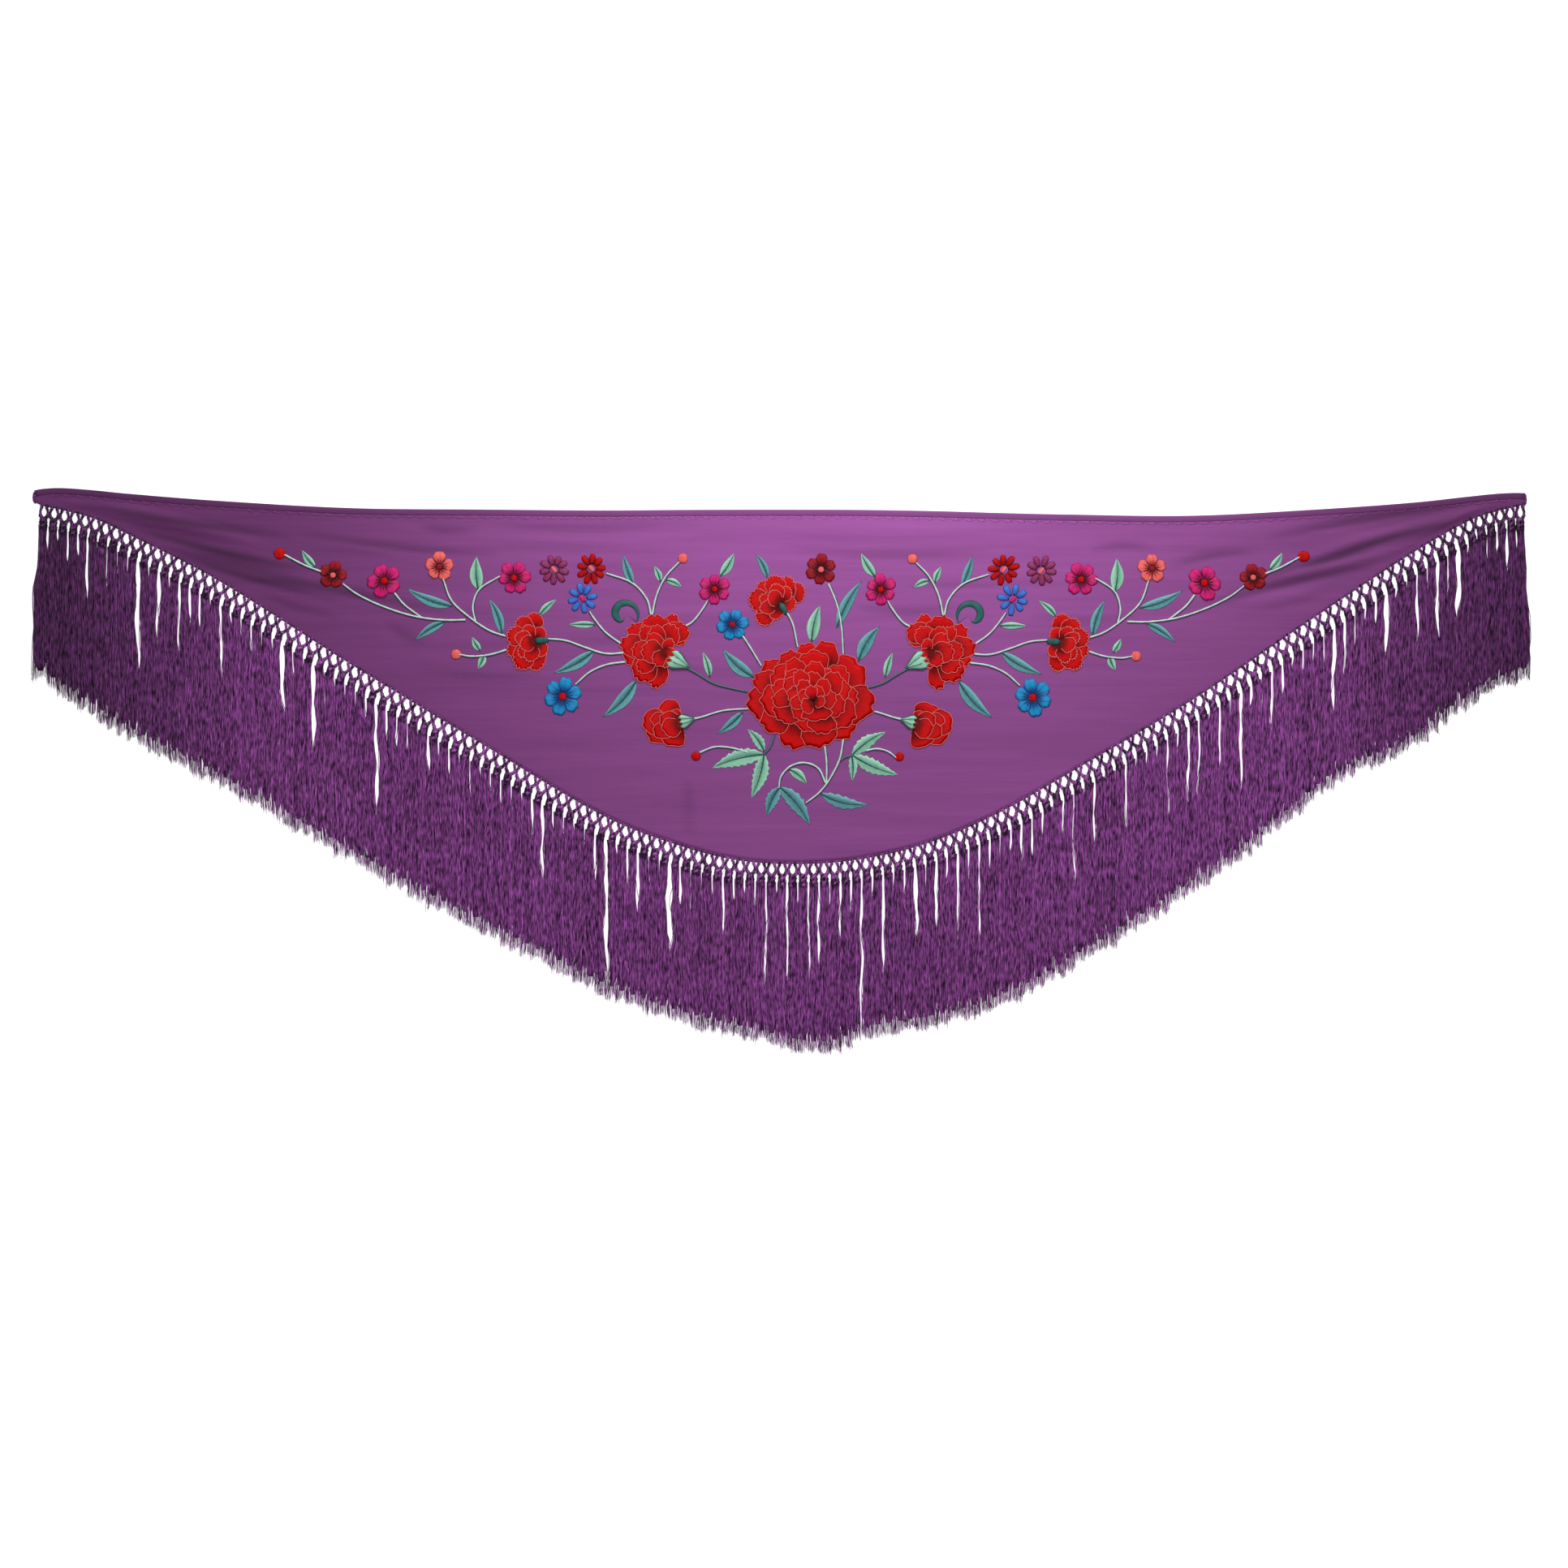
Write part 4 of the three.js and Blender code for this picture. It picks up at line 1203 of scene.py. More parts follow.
    def build_band(self, name: str, centre: np.ndarray, half: float, height: float,
                   material: bpy.types.Material, node: str) -> bpy.types.Object:
        """Build a flattened roll of cloth along a line.

        Args:
            name: The piece's name.
            centre: The line that its middle follows, as X and Y.
            half: Half of its width.
            height: Its height over the surface.
            material: Its finish.
            node: The solid that it stands for.

        Returns:
            The new object.
        """
        sides = 10
        turn = np.arange(sides) / sides * FULL_TURN
        way = np.gradient(centre, axis=0)
        way /= np.linalg.norm(way, axis=1)[:, None]
        out = np.stack([way[:, 1], -way[:, 0]], 1)
        bulge = np.abs(np.cos(turn)) ** 0.6 * np.sign(np.cos(turn)) * half
        place = centre[:, None, :] + out[:, None, :] * bulge[None, :, None]
        pucker = 1 + 0.06 * np.sin(np.arange(len(centre)) * 1.9)
        z = 0.15 + (height - 0.15) * (0.5 + 0.5 * np.sin(turn))[None, :] * pucker[:, None]
        points = np.concatenate([place, z[:, :, None]], 2).reshape(-1, 3)
        faces = []
        for i in range(len(centre) - 1):
            for j in range(sides):
                k = (j + 1) % sides
                faces.append((i * sides + j, i * sides + k,
                              (i + 1) * sides + k, (i + 1) * sides + j))
        faces.append(tuple(range(sides - 1, -1, -1)))
        faces.append(tuple((len(centre) - 1) * sides + j for j in range(sides)))
        if way[0, 0] > 0:
            faces = [tuple(reversed(face)) for face in faces]
        work = Patchwork()
        work.add(points, faces, points[:, :2] / 10, np.ones(len(points)))
        return fit(work.piece(name, material), "crepe", node)

    def build(self, sweeper: Sweeper, stitches: StitchRow) -> list[bpy.types.Object]:
        """Build the cloth, its two hems and their stitching.

        Args:
            sweeper: Makes the scalloped thread.
            stitches: Lays the small stitches.

        Returns:
            The panel first, then the pieces on it.
        """
        panel = self.build_panel()
        double = self.finish.material("crepe_double", self.doubled)
        seam = SilkFinish("crepe", linear(112, 52, 112), linear(64, 24, 66)).material("hem_thread")
        x = np.linspace(-self.hem_reach, self.hem_reach, 300)
        top_line = np.stack([x, column(OUTLINE, "top", x) - self.hem_width / 2], 1)
        hem = self.build_band("folded_hem", top_line, self.hem_width / 2, self.hem_height, double,
                              "top_hem")
        slope = np.gradient(column(OUTLINE, "low", x), x)
        inward = self.roll_width / 2
        low_line = np.stack([x, column(OUTLINE, "low", x) + inward * np.hypot(1, slope)], 1)
        roll = self.build_band("rolled_edge", low_line, inward, self.roll_height, double,
                               "rolled_hem")
        line = np.concatenate([low_line, np.full((len(x), 1), self.roll_height)], 1)
        whip = stitches.lay("whip_stitches", line, self.whip_pitch, (3.4, 0.6, 0.6),
                            self.whip_lean, seam)
        fit(whip, "crepe", "rolled_hem")
        dots = self.build_dots(stitches)
        scallops = self.build_scallops(sweeper, double)
        turned = self.build_turned_ends(sweeper, double)
        return [panel, hem, roll, whip, scallops, dots, turned]

    def build_dots(self, stitches: StitchRow) -> bpy.types.Object:
        """Lay the row of small pale stitches under the folded hem.

        Args:
            stitches: Lays the stitches.

        Returns:
            The new object.
        """
        pale = SilkFinish("crepe", linear(196, 124, 196), linear(150, 80, 150)).material("hem_dots")
        dots_x = np.arange(-self.stitched_reach, self.stitched_reach + 4, 2.0)
        dots_y = column(OUTLINE, "top", dots_x) - self.hem_width - 0.4
        dots_z = np.maximum(self.top(dots_x, dots_y) + 0.2, 1.4)
        dots_line = np.stack([dots_x, dots_y, dots_z], 1)
        dots = stitches.lay("hem_dots", dots_line, self.scallop_pitch, (2.6, 1.3, 0.8), -0.5, pale)
        return fit(dots, "crepe", "top_hem")

    def build_turned_ends(self, sweeper: Sweeper, cloth: bpy.types.Material) -> bpy.types.Object:
        """Close both ends of the triangle, where the long hem is turned over the rolled one.

        Args:
            sweeper: Makes the short rolls.
            cloth: Their finish.

        Returns:
            The new object.
        """
        ends = []
        for end_x, high, bottom in ((-799.2, 297.4, 287.2), (798.6, 295.6, 284.4)):
            tip = np.sign(end_x) * np.array([-2.2, 0.0, 0.6, 0.2, -1.6])
            y = np.array([high + 1.2, high - 0.6, (high + bottom) / 2, bottom + 1.6, bottom - 1.4])
            points = np.stack([end_x + tip, y, np.full(5, 1.45)], 1)
            ends.append(Run(points, np.array([0.9, 1.25, 1.3, 1.25, 1.0]), np.ones(5)))
        return fit(sweeper.sweep("turned_ends", ends, 8, cloth), "crepe", "panel")

    def build_scallops(self, sweeper: Sweeper, thread: bpy.types.Material) -> bpy.types.Object:
        """Build the scalloped row of stitches under the folded hem.

        Args:
            sweeper: Makes the thread.
            thread: Its finish.

        Returns:
            The new object.
        """
        x = np.arange(-self.stitched_reach, self.stitched_reach, self.scallop_pitch / 8)
        swing = np.abs(np.sin(math.pi * x / self.scallop_pitch)) * self.scallop_depth
        y = column(OUTLINE, "top", x) - self.hem_width - 0.6 - swing
        points = np.stack([x, y, self.top(x, y) + 0.15], 1)
        run = Run(points, np.full(len(x), 0.24), 1.15 + 0.2 * np.sin(x))
        return fit(sweeper.sweep("hem_scallops", [run], 4, thread), "crepe", "top_hem")


def rim_of(columns: int, rows: int) -> np.ndarray:
    """Give the indices round the rim of a grid whose points run column by column.

    Args:
        columns: The grid's steps across.
        rows: Its steps along.

    Returns:
        The indices in order.
    """
    step = rows + 1
    first = np.arange(columns) * step
    right = columns * step + np.arange(rows)
    back = np.arange(columns, 0, -1) * step + rows
    left = np.arange(rows, 0, -1)
    return np.concatenate([first, right, back, left])


@dataclass
class Fringe:
    """The knotted heading and its tassels of loose threads."""

    tassels: int = 143
    first: float = -788.0
    last: float = 793.0
    sections: int = 10
    threads: int = 35
    steps: int = 17
    lock_steps: int = 20
    thread_half: float = 0.42
    knot_top: float = 11.2
    knot_foot: float = 23.0
    hidden_top: float = 19.5
    waist: float = 24.0
    widest_knot: float = 5.3
    slimmest_knot: float = 4.2
    fray: float = 1.7
    floor_gap: float = 0.25
    left_spread: tuple[float, float] = (0.2, 7.6)
    right_spread: tuple[float, float] = (-1.4, 5.0)
    short_slits: tuple[float, float] = (6.0, 46.0)
    slim_slits: tuple[float, float] = (0.8, 3.3)
    seed: int = 20
    finish: FringeFinish = field(default_factory=FringeFinish)
    gaps: list[EdgeFrame] = field(default_factory=list)
    roots: np.ndarray = field(default_factory=lambda: np.empty(0))
    slits: np.ndarray = field(default_factory=lambda: np.empty((0, 2)))
    wander: np.ndarray = field(default_factory=lambda: np.empty((0, 2)))

    @property
    def spacing(self) -> float:
        """Distance along X from tassel to tassel."""
        return (self.last - self.first) / (self.tassels - 1)

    def place(self, tassel: int) -> EdgeFrame:
        """Frame of one tassel on the fringed edge."""
        return EdgeFrame.at(self.first + tassel * self.spacing)

    def lay_out(self, rng: np.random.Generator) -> None:
        """Place the gaps before, between and after the tassels, and choose their slits.

        Args:
            rng: Source of the ordinary gaps' short slits and of every gap's drift.
        """
        count = self.tassels + 1
        self.gaps = [self.place(gap - 0.5) for gap in range(count)]
        self.roots = np.array([gap.point[0] + gap.down[0] * self.waist for gap in self.gaps])
        self.slits = np.stack([rng.uniform(*self.short_slits, count),
                               rng.uniform(*self.slim_slits, count)], 1)
        for slit in SLITS:
            self.slits[np.argmin(np.abs(self.roots - slit.x))] = (slit.length, slit.width)
        self.wander = np.stack([rng.uniform(0.2, 0.7, count), rng.uniform(0, FULL_TURN, count)], 1)

    def half_width(self, tassel: int) -> float:
        """Half width of one knot, slimmer beside open slits."""
        open_width = (self.slits[tassel, 1] + self.slits[tassel + 1, 1]) / 2
        return float(np.clip((self.spacing - 0.5 * open_width) / 2, self.slimmest_knot,
                             self.widest_knot))

    def drift(self, x: np.ndarray, y: np.ndarray) -> np.ndarray:
        """Sideways drift that neighbouring threads share."""
        return 0.9 * np.sin(y / 17 + 2 * np.sin(x / 37)) + 0.5 * np.sin(y / 9.5 + x / 23)

    def half_bundles(self, tassel: int, rng: np.random.Generator) -> list[Run]:
        """Lay the two half bundles that run from the edge to one knot.

        Args:
            tassel: The knot's number from the left.
            rng: Source of the unevenness.

        Returns:
            The plies' lines.
        """
        runs = []
        knot = self.place(tassel)
        head = knot.point + knot.down * self.knot_top
        half = self.half_width(tassel)
        for side, gap in ((-1, self.gaps[tassel]), (1, self.gaps[tassel + 1])):
            aside = -side
            way = [gap.point + gap.out * -2.2 + gap.along * aside * 3.1,
                   gap.point + gap.out * 1.2 + gap.along * aside * 2.7,
                   gap.point + gap.down * 4.8 + gap.along * aside * 1.3,
                   gap.point + gap.down * 7.6 + gap.along * aside * 1.4,
                   head + knot.along * side * half * 0.74 - knot.down * 1.0,
                   head + knot.along * side * half * 0.45 + knot.down * 0.5,
                   head + knot.along * side * half * 0.2 + knot.down * 2.2]
            line = catmull(np.array(way), 2)
            along = np.linspace(0, 1, len(line))
            height = np.interp(along, [0, 0.15, 0.4, 0.8, 1], [2.5, 3.0, 2.4, 2.8, 3.4])
            swell = np.interp(along, [0, 0.16, 0.34, 0.5, 0.7, 1], [1.6, 1.55, 1.2, 1.3, 1.75, 1.8])
            path = np.concatenate([line, height[:, None]], 1)
            runs += self.plies(path, 3, 0.6, 0.72, 11.0, swell, rng)
        return runs

    def plies(self, path: np.ndarray, count: int, apart: float, half: float, pitch: float,
              swell: np.ndarray, rng: np.random.Generator) -> list[Run]:
        """Twist a few plies round a path.

        Args:
            path: The path's points.
            count: Number of plies.
            apart: Distance of each ply from the path.
            half: Half thickness of a ply.
            pitch: Length of one twist.
            swell: Factor on both at each point.
            rng: Source of the plies' phase and tones.

        Returns:
            The plies' lines.
        """
        steps = np.linalg.norm(np.diff(path, axis=0), axis=1)
        length = np.concatenate([[0], np.cumsum(steps)])
        way = np.gradient(path[:, :2], axis=0)
        way /= np.maximum(np.linalg.norm(way, axis=1), 1e-6)[:, None]
        side = np.stack([-way[:, 1], way[:, 0]], 1)
        phase = rng.uniform(0, FULL_TURN)
        made = []
        for ply in range(count):
            angle = phase + FULL_TURN * (ply / count + length / pitch)
            points = path.copy()
            points[:, :2] += side * (apart * swell * np.cos(angle))[:, None]
            points[:, 2] += apart * np.sin(angle)
            # Each ply is painted lighter where its twist comes up and darker where it goes down:
            # painted light and shade. Its base tone differs at random.
            tone = rng.uniform(0.05, 0.36) + 0.12 * np.sin(angle)
            made.append(Run(points, half * swell, tone))
        return made

    def knot(self, tassel: int, rng: np.random.Generator) -> list[Run]:
        """Wrap one knot: a core with two cords wound round it.

        Args:
            tassel: The knot's number from the left.
            rng: Source of the unevenness.

        Returns:
            The lines of cords and core.
        """
        place = self.place(tassel)
        width = self.half_width(tassel) / self.widest_knot
        turns = rng.uniform(0.75, 1.15)
        phase = rng.uniform(0, FULL_TURN)
        share = np.linspace(0, 1, 19)
        swell = 0.3 + 0.7 * np.sin(math.pi * (0.17 + 0.66 * share)) ** 0.5
        drop = self.knot_top + (self.knot_foot - self.knot_top) * share
        runs = []
        for cord in range(2):
            angle = phase + FULL_TURN * (turns * share + cord / 2)
            across = 3.2 * width * swell * np.cos(angle)
            rise = 3.3 + 1.15 * swell * np.sin(angle)
            flat = (place.point[None, :] + place.down[None, :] * drop[:, None]
                    + place.along[None, :] * across[:, None])
            # Each cord is painted light on its top and dark at its sides and underneath: painted
            # light and shade.
            lit = ease(0.35 + 0.75 * np.sin(angle)) * ease(1.3 - np.abs(np.cos(angle)))
            tone = rng.uniform(0.3, 0.62) * lit - 0.3 * (1 - lit)
            runs.append(Run(np.concatenate([flat, rise[:, None]], 1), 1.95 * width * swell, tone))
        drops = np.linspace(11.4, 24.5, 7)
        for side in (-1, 1):
            core = (place.point[None, :] + place.down[None, :] * drops[:, None]
                    + place.along[None, :] * side * 1.9 * width)
            shape = np.array([1.8, 2.6, 2.85, 2.9, 2.85, 2.7, 2.5]) * width
            points = np.concatenate([core, np.full((7, 1), 3.1)], 1)
            runs.append(Run(points, shape, np.full(7, rng.uniform(-0.05, 0.16))))
        return runs

    def border(self, gap: int, side: int, depth: np.ndarray) -> np.ndarray:
        """Follow one side of a gap down the fringe.

        Args:
            gap: The gap's number.
            side: 1 for the gap's right side and -1 for its left side.
            depth: Distances below the knots.

        Returns:
            Place along X at each depth.
        """
        if gap in (0, self.tassels):
            start, end = self.left_spread if gap == 0 else self.right_spread
            return self.roots[gap] - side * (start + (end - start) * ease(depth / 110))
        length, width = self.slits[gap]
        sway, phase = self.wander[gap]
        middle = self.roots[gap] + sway * (np.sin(depth / 30 + phase) - math.sin(phase))
        opened = width * (1 + 0.22 * np.sin(depth / 7 + phase * 3))
        opened = opened * (1 - ease((depth - 0.7 * length) / (0.3 * length + 1)))
        overlap = -1.5 * ease((depth - length) / 10)
        return middle + side * (opened + overlap) / 2

    def spread(self, tassel: int, across: np.ndarray, depth: np.ndarray) -> np.ndarray:
        """Place along X of threads that leave the knot together and spread below it.

        Args:
            tassel: The tassel's number.
            across: Each thread's share of the tassel's width.
            depth: Distances below the hidden tops, one row for each thread.

        Returns:
            Place along X, one row for each thread.
        """
        place = self.place(tassel)
        below = np.maximum(depth - (self.waist - self.hidden_top), 0)
        left = self.border(tassel, 1, below)
        right = self.border(tassel + 1, -1, below)
        loose = left + (right - left) * across[:, None]
        half = self.half_width(tassel)
        grown = half * (0.92 + 0.08 * ease(depth / 3))
        tight = place.point[0] + place.down[0] * self.waist + (across[:, None] - 0.5) * 2 * grown
        return tight + (loose - tight) * ease(below / 5)

    def fall(self, tassel: int) -> tuple[float, float]:
        """Heights along Y where one tassel's threads start and where they end."""
        place = self.place(tassel)
        start = place.point[1] + place.down[1] * self.hidden_top
        return float(start), float(place.point[1] - column(HANG, "length", place.point[0]))

    def lock(self, tassel: int, work: Patchwork) -> None:
        """Fill one tassel with a flat wavy lock under its loose threads, in a low tone: it stands
        for the lower threads and paints their shade.

        Args:
            tassel: Its number from the left.
            work: Gathers the lock.
        """
        start, end = self.fall(tassel)
        share = np.linspace(0, 1, self.lock_steps)
        depth = share * (start - end - 12.0)
        sides = np.array([0.0, 0.16, 0.5, 0.84, 1.0])
        crown = np.array([0.0, 0.75, 1.0, 0.75, 0.0])
        pinch = np.interp(share, [0, 0.9, 1], [1, 1, 0.35])
        across = 0.5 + (sides[:, None] - 0.5) * pinch
        x = np.concatenate([self.spread(tassel, across[:, i], depth[None, i:i + 1])
                            for i in range(self.lock_steps)], 1)
        y = np.broadcast_to(start - depth, x.shape)
        x = x + self.drift(x, y) * ease((depth - 12) / 40)
        tall = np.interp(share, [0, 0.05, 0.12, 0.9, 1], [2.4, 2.4, 1.9, 1.1, 0.5])
        z = self.floor_gap + crown[:, None] * tall
        z = z + np.interp(share, [0, 0.04, 0.12], [1.3, 0.6, 0.0])
        points = np.stack([x.T, y.T, z.T], 2).reshape(-1, 3)
        count = len(sides)
        faces = [(i * count + j, i * count + (j + 1) % count, (i + 1) * count + (j + 1) % count,
                  (i + 1) * count + j) for i in range(self.lock_steps - 1) for j in range(count)]
        faces.append(tuple(range(count - 1, -1, -1)))
        faces.append(tuple((self.lock_steps - 1) * count + j for j in range(count)))
        # The lock's low tone is painted shade under the loose threads.
        work.add(points, [face[::-1] for face in faces], points[:, :2], np.full(len(points), 0.22))

    def threads_of(self, tassel: int, rng: np.random.Generator) -> list[Run]:
        """Hang one tassel's loose threads.

        Args:
            tassel: Its number from the left.
            rng: Source of the threads' unevenness.

        Returns:
            The threads' lines.
        """
        start, end = self.fall(tassel)
        count = self.threads

        def some(low: float, high: float) -> np.ndarray:
            """One random value for each thread."""
            return rng.uniform(low, high, count)[:, None]

        across = (np.arange(count) + rng.uniform(0.1, 0.9, count)) / count
        across = 0.5 + (across - 0.5) * 1.06
        layer = rng.permutation(count)[:, None] / (count - 1)
        spot = self.place(tassel).point[0] + (across - 0.5) * self.spacing
        clump = 2.4 * np.sin(spot / 2.3 + 1.7 * np.sin(spot / 5.3)) + 1.6 * np.sin(spot / 7.7)
        length = start - end + clump + rng.normal(0, self.fray, count) - 1.5
        share = np.linspace(0, 1, self.steps)
        depth = (share**1.1)[None, :] * length[:, None]
        place_x = self.spread(tassel, across, depth)
        wave = some(0.3, 1.0) * np.sin(FULL_TURN * depth / some(45, 110) + some(0, FULL_TURN))
        crimp = some(0.15, 0.5) * np.sin(FULL_TURN * depth / some(23, 38) + some(0, FULL_TURN))
        stray = np.where(rng.random(count) < 0.06, rng.choice([-1, 1], count), 0)[:, None]
        bulge = stray * some(2, 4.5) * np.exp(-(((depth - some(20, 100)) / 15) ** 2))
        y = start - depth
        loose = ease((depth - 8) / 22)
        drifted = self.drift(place_x, y) * ease((depth - 12) / 40)
        place_x = place_x + (wave + crimp + bulge) * loose + drifted
        dome = np.sqrt(np.clip(1 - 0.85 * (2 * across - 1) ** 2, 0.1, 1))[:, None]
        stack = np.interp(share, [0, 0.03, 0.1, 0.4, 1], [3.2, 3.2, 3.3, 3.0, 1.7])[None, :]
        ripple = 0.3 * np.sin(depth / some(7, 12) + some(0, FULL_TURN)) * layer
        rise = self.floor_gap + self.thread_half + (0.25 + 0.75 * layer) * dome * stack + ripple
        # Threads lower in the stack are painted darker and upper ones lighter, and the threads just
        # under the knot darker: painted shade. Each thread's tone also differs at random, and the
        # tips are a little darker.
        tone = 0.44 + rng.normal(0, 0.12, count)[:, None] + 0.16 * (layer - 0.5)
        tone = tone - 0.1 * ease((share - 0.8) / 0.2)[None, :] - 0.06 * (1 - ease(depth / 16))
        thin = np.interp(share, [0, 0.9, 1], [1, 0.95, 0.5])
        return [Run(np.stack([place_x[i], y[i], rise[i]], 1), self.thread_half * thin,
                    np.clip(tone[i], 0, 1)) for i in range(count)]

    def build(self, sweeper: Sweeper) -> list[bpy.types.Object]:
        """Build the heading and the tassels for every length of heading.

        Args:
            sweeper: Makes the threads.

        Returns:
            The new pieces.
        """
        rng = np.random.default_rng(self.seed)
        self.lay_out(rng)
        material = self.finish.material("fringe_silk")
        made = []
        for section in range(self.sections):
            heading: list[Run] = []
            loose: list[Run] = []
            locks = Patchwork()
            begin = round(section * self.tassels / self.sections)
            end = round((section + 1) * self.tassels / self.sections)
            for tassel in range(begin, end):
                heading += self.half_bundles(tassel, rng)
                heading += self.knot(tassel, rng)
                self.lock(tassel, locks)
                loose += self.threads_of(tassel, rng)
            number = f"{section + 1:02d}"
            for piece in (sweeper.sweep(f"heading_{number}", heading, 5, material),
                          locks.piece(f"locks_{number}", material),
                          sweeper.sweep(f"threads_{number}", loose, 3, material)):
                made.append(fit(piece, "fringe_silk", f"fringe_{number}"))
        return made


def edge_of(place: Place, foot: float) -> tuple[np.ndarray, np.ndarray]:
    """Follow a petal's edge from one side of its foot, round its tip, to the other side.

    Args:
        place: Gives the petal's places.
        foot: Share of its length to start from.

    Returns:
        The edge's X and Y.
    """
    rise = np.linspace(foot, 1, 14)
    u = np.concatenate([np.full(14, -1.0), np.linspace(-1, 1, 39)[1:-1], np.full(14, 1.0)])
    return place(u, np.concatenate([rise, np.ones(37), rise[::-1]]))


def covered(x: np.ndarray, y: np.ndarray, ring_x: np.ndarray, ring_y: np.ndarray) -> np.ndarray:
    """Tell which points lie inside a closed outline.

    Args:
        x: The points' X.
        y: The points' Y.
        ring_x: The outline's X.
        ring_y: The outline's Y.

    Returns:
        True for each point inside.
    """
    next_x, next_y = np.roll(ring_x, -1), np.roll(ring_y, -1)
    spans = (ring_y > y[:, None]) != (next_y > y[:, None])
    run = np.where(next_y == ring_y, 1e-9, next_y - ring_y)
    meets = ring_x + (y[:, None] - ring_y) * (next_x - ring_x) / run
    return np.sum(spans & (x[:, None] < meets), axis=1) % 2 == 1


def catmull(way: np.ndarray, between: int) -> np.ndarray:
    """Draw a smooth curve through places.

    Args:
        way: The places.
        between: Number of points for each stretch between two places.

    Returns:
        The curve's points, with the last place at its end.
    """
    padded = np.concatenate([[2 * way[0] - way[1]], way, [2 * way[-1] - way[-2]]])
    points = []
    for i in range(1, len(padded) - 2):
        p0, p1, p2, p3 = padded[i - 1:i + 3]
        for t in np.arange(between) / between:
            points.append(0.5 * (2 * p1 + (p2 - p0) * t + (2 * p0 - 5 * p1 + 4 * p2 - p3) * t * t
                                 + (3 * p1 - p0 - 3 * p2 + p3) * t**3))
    points.append(way[-1])
    return np.array(points)


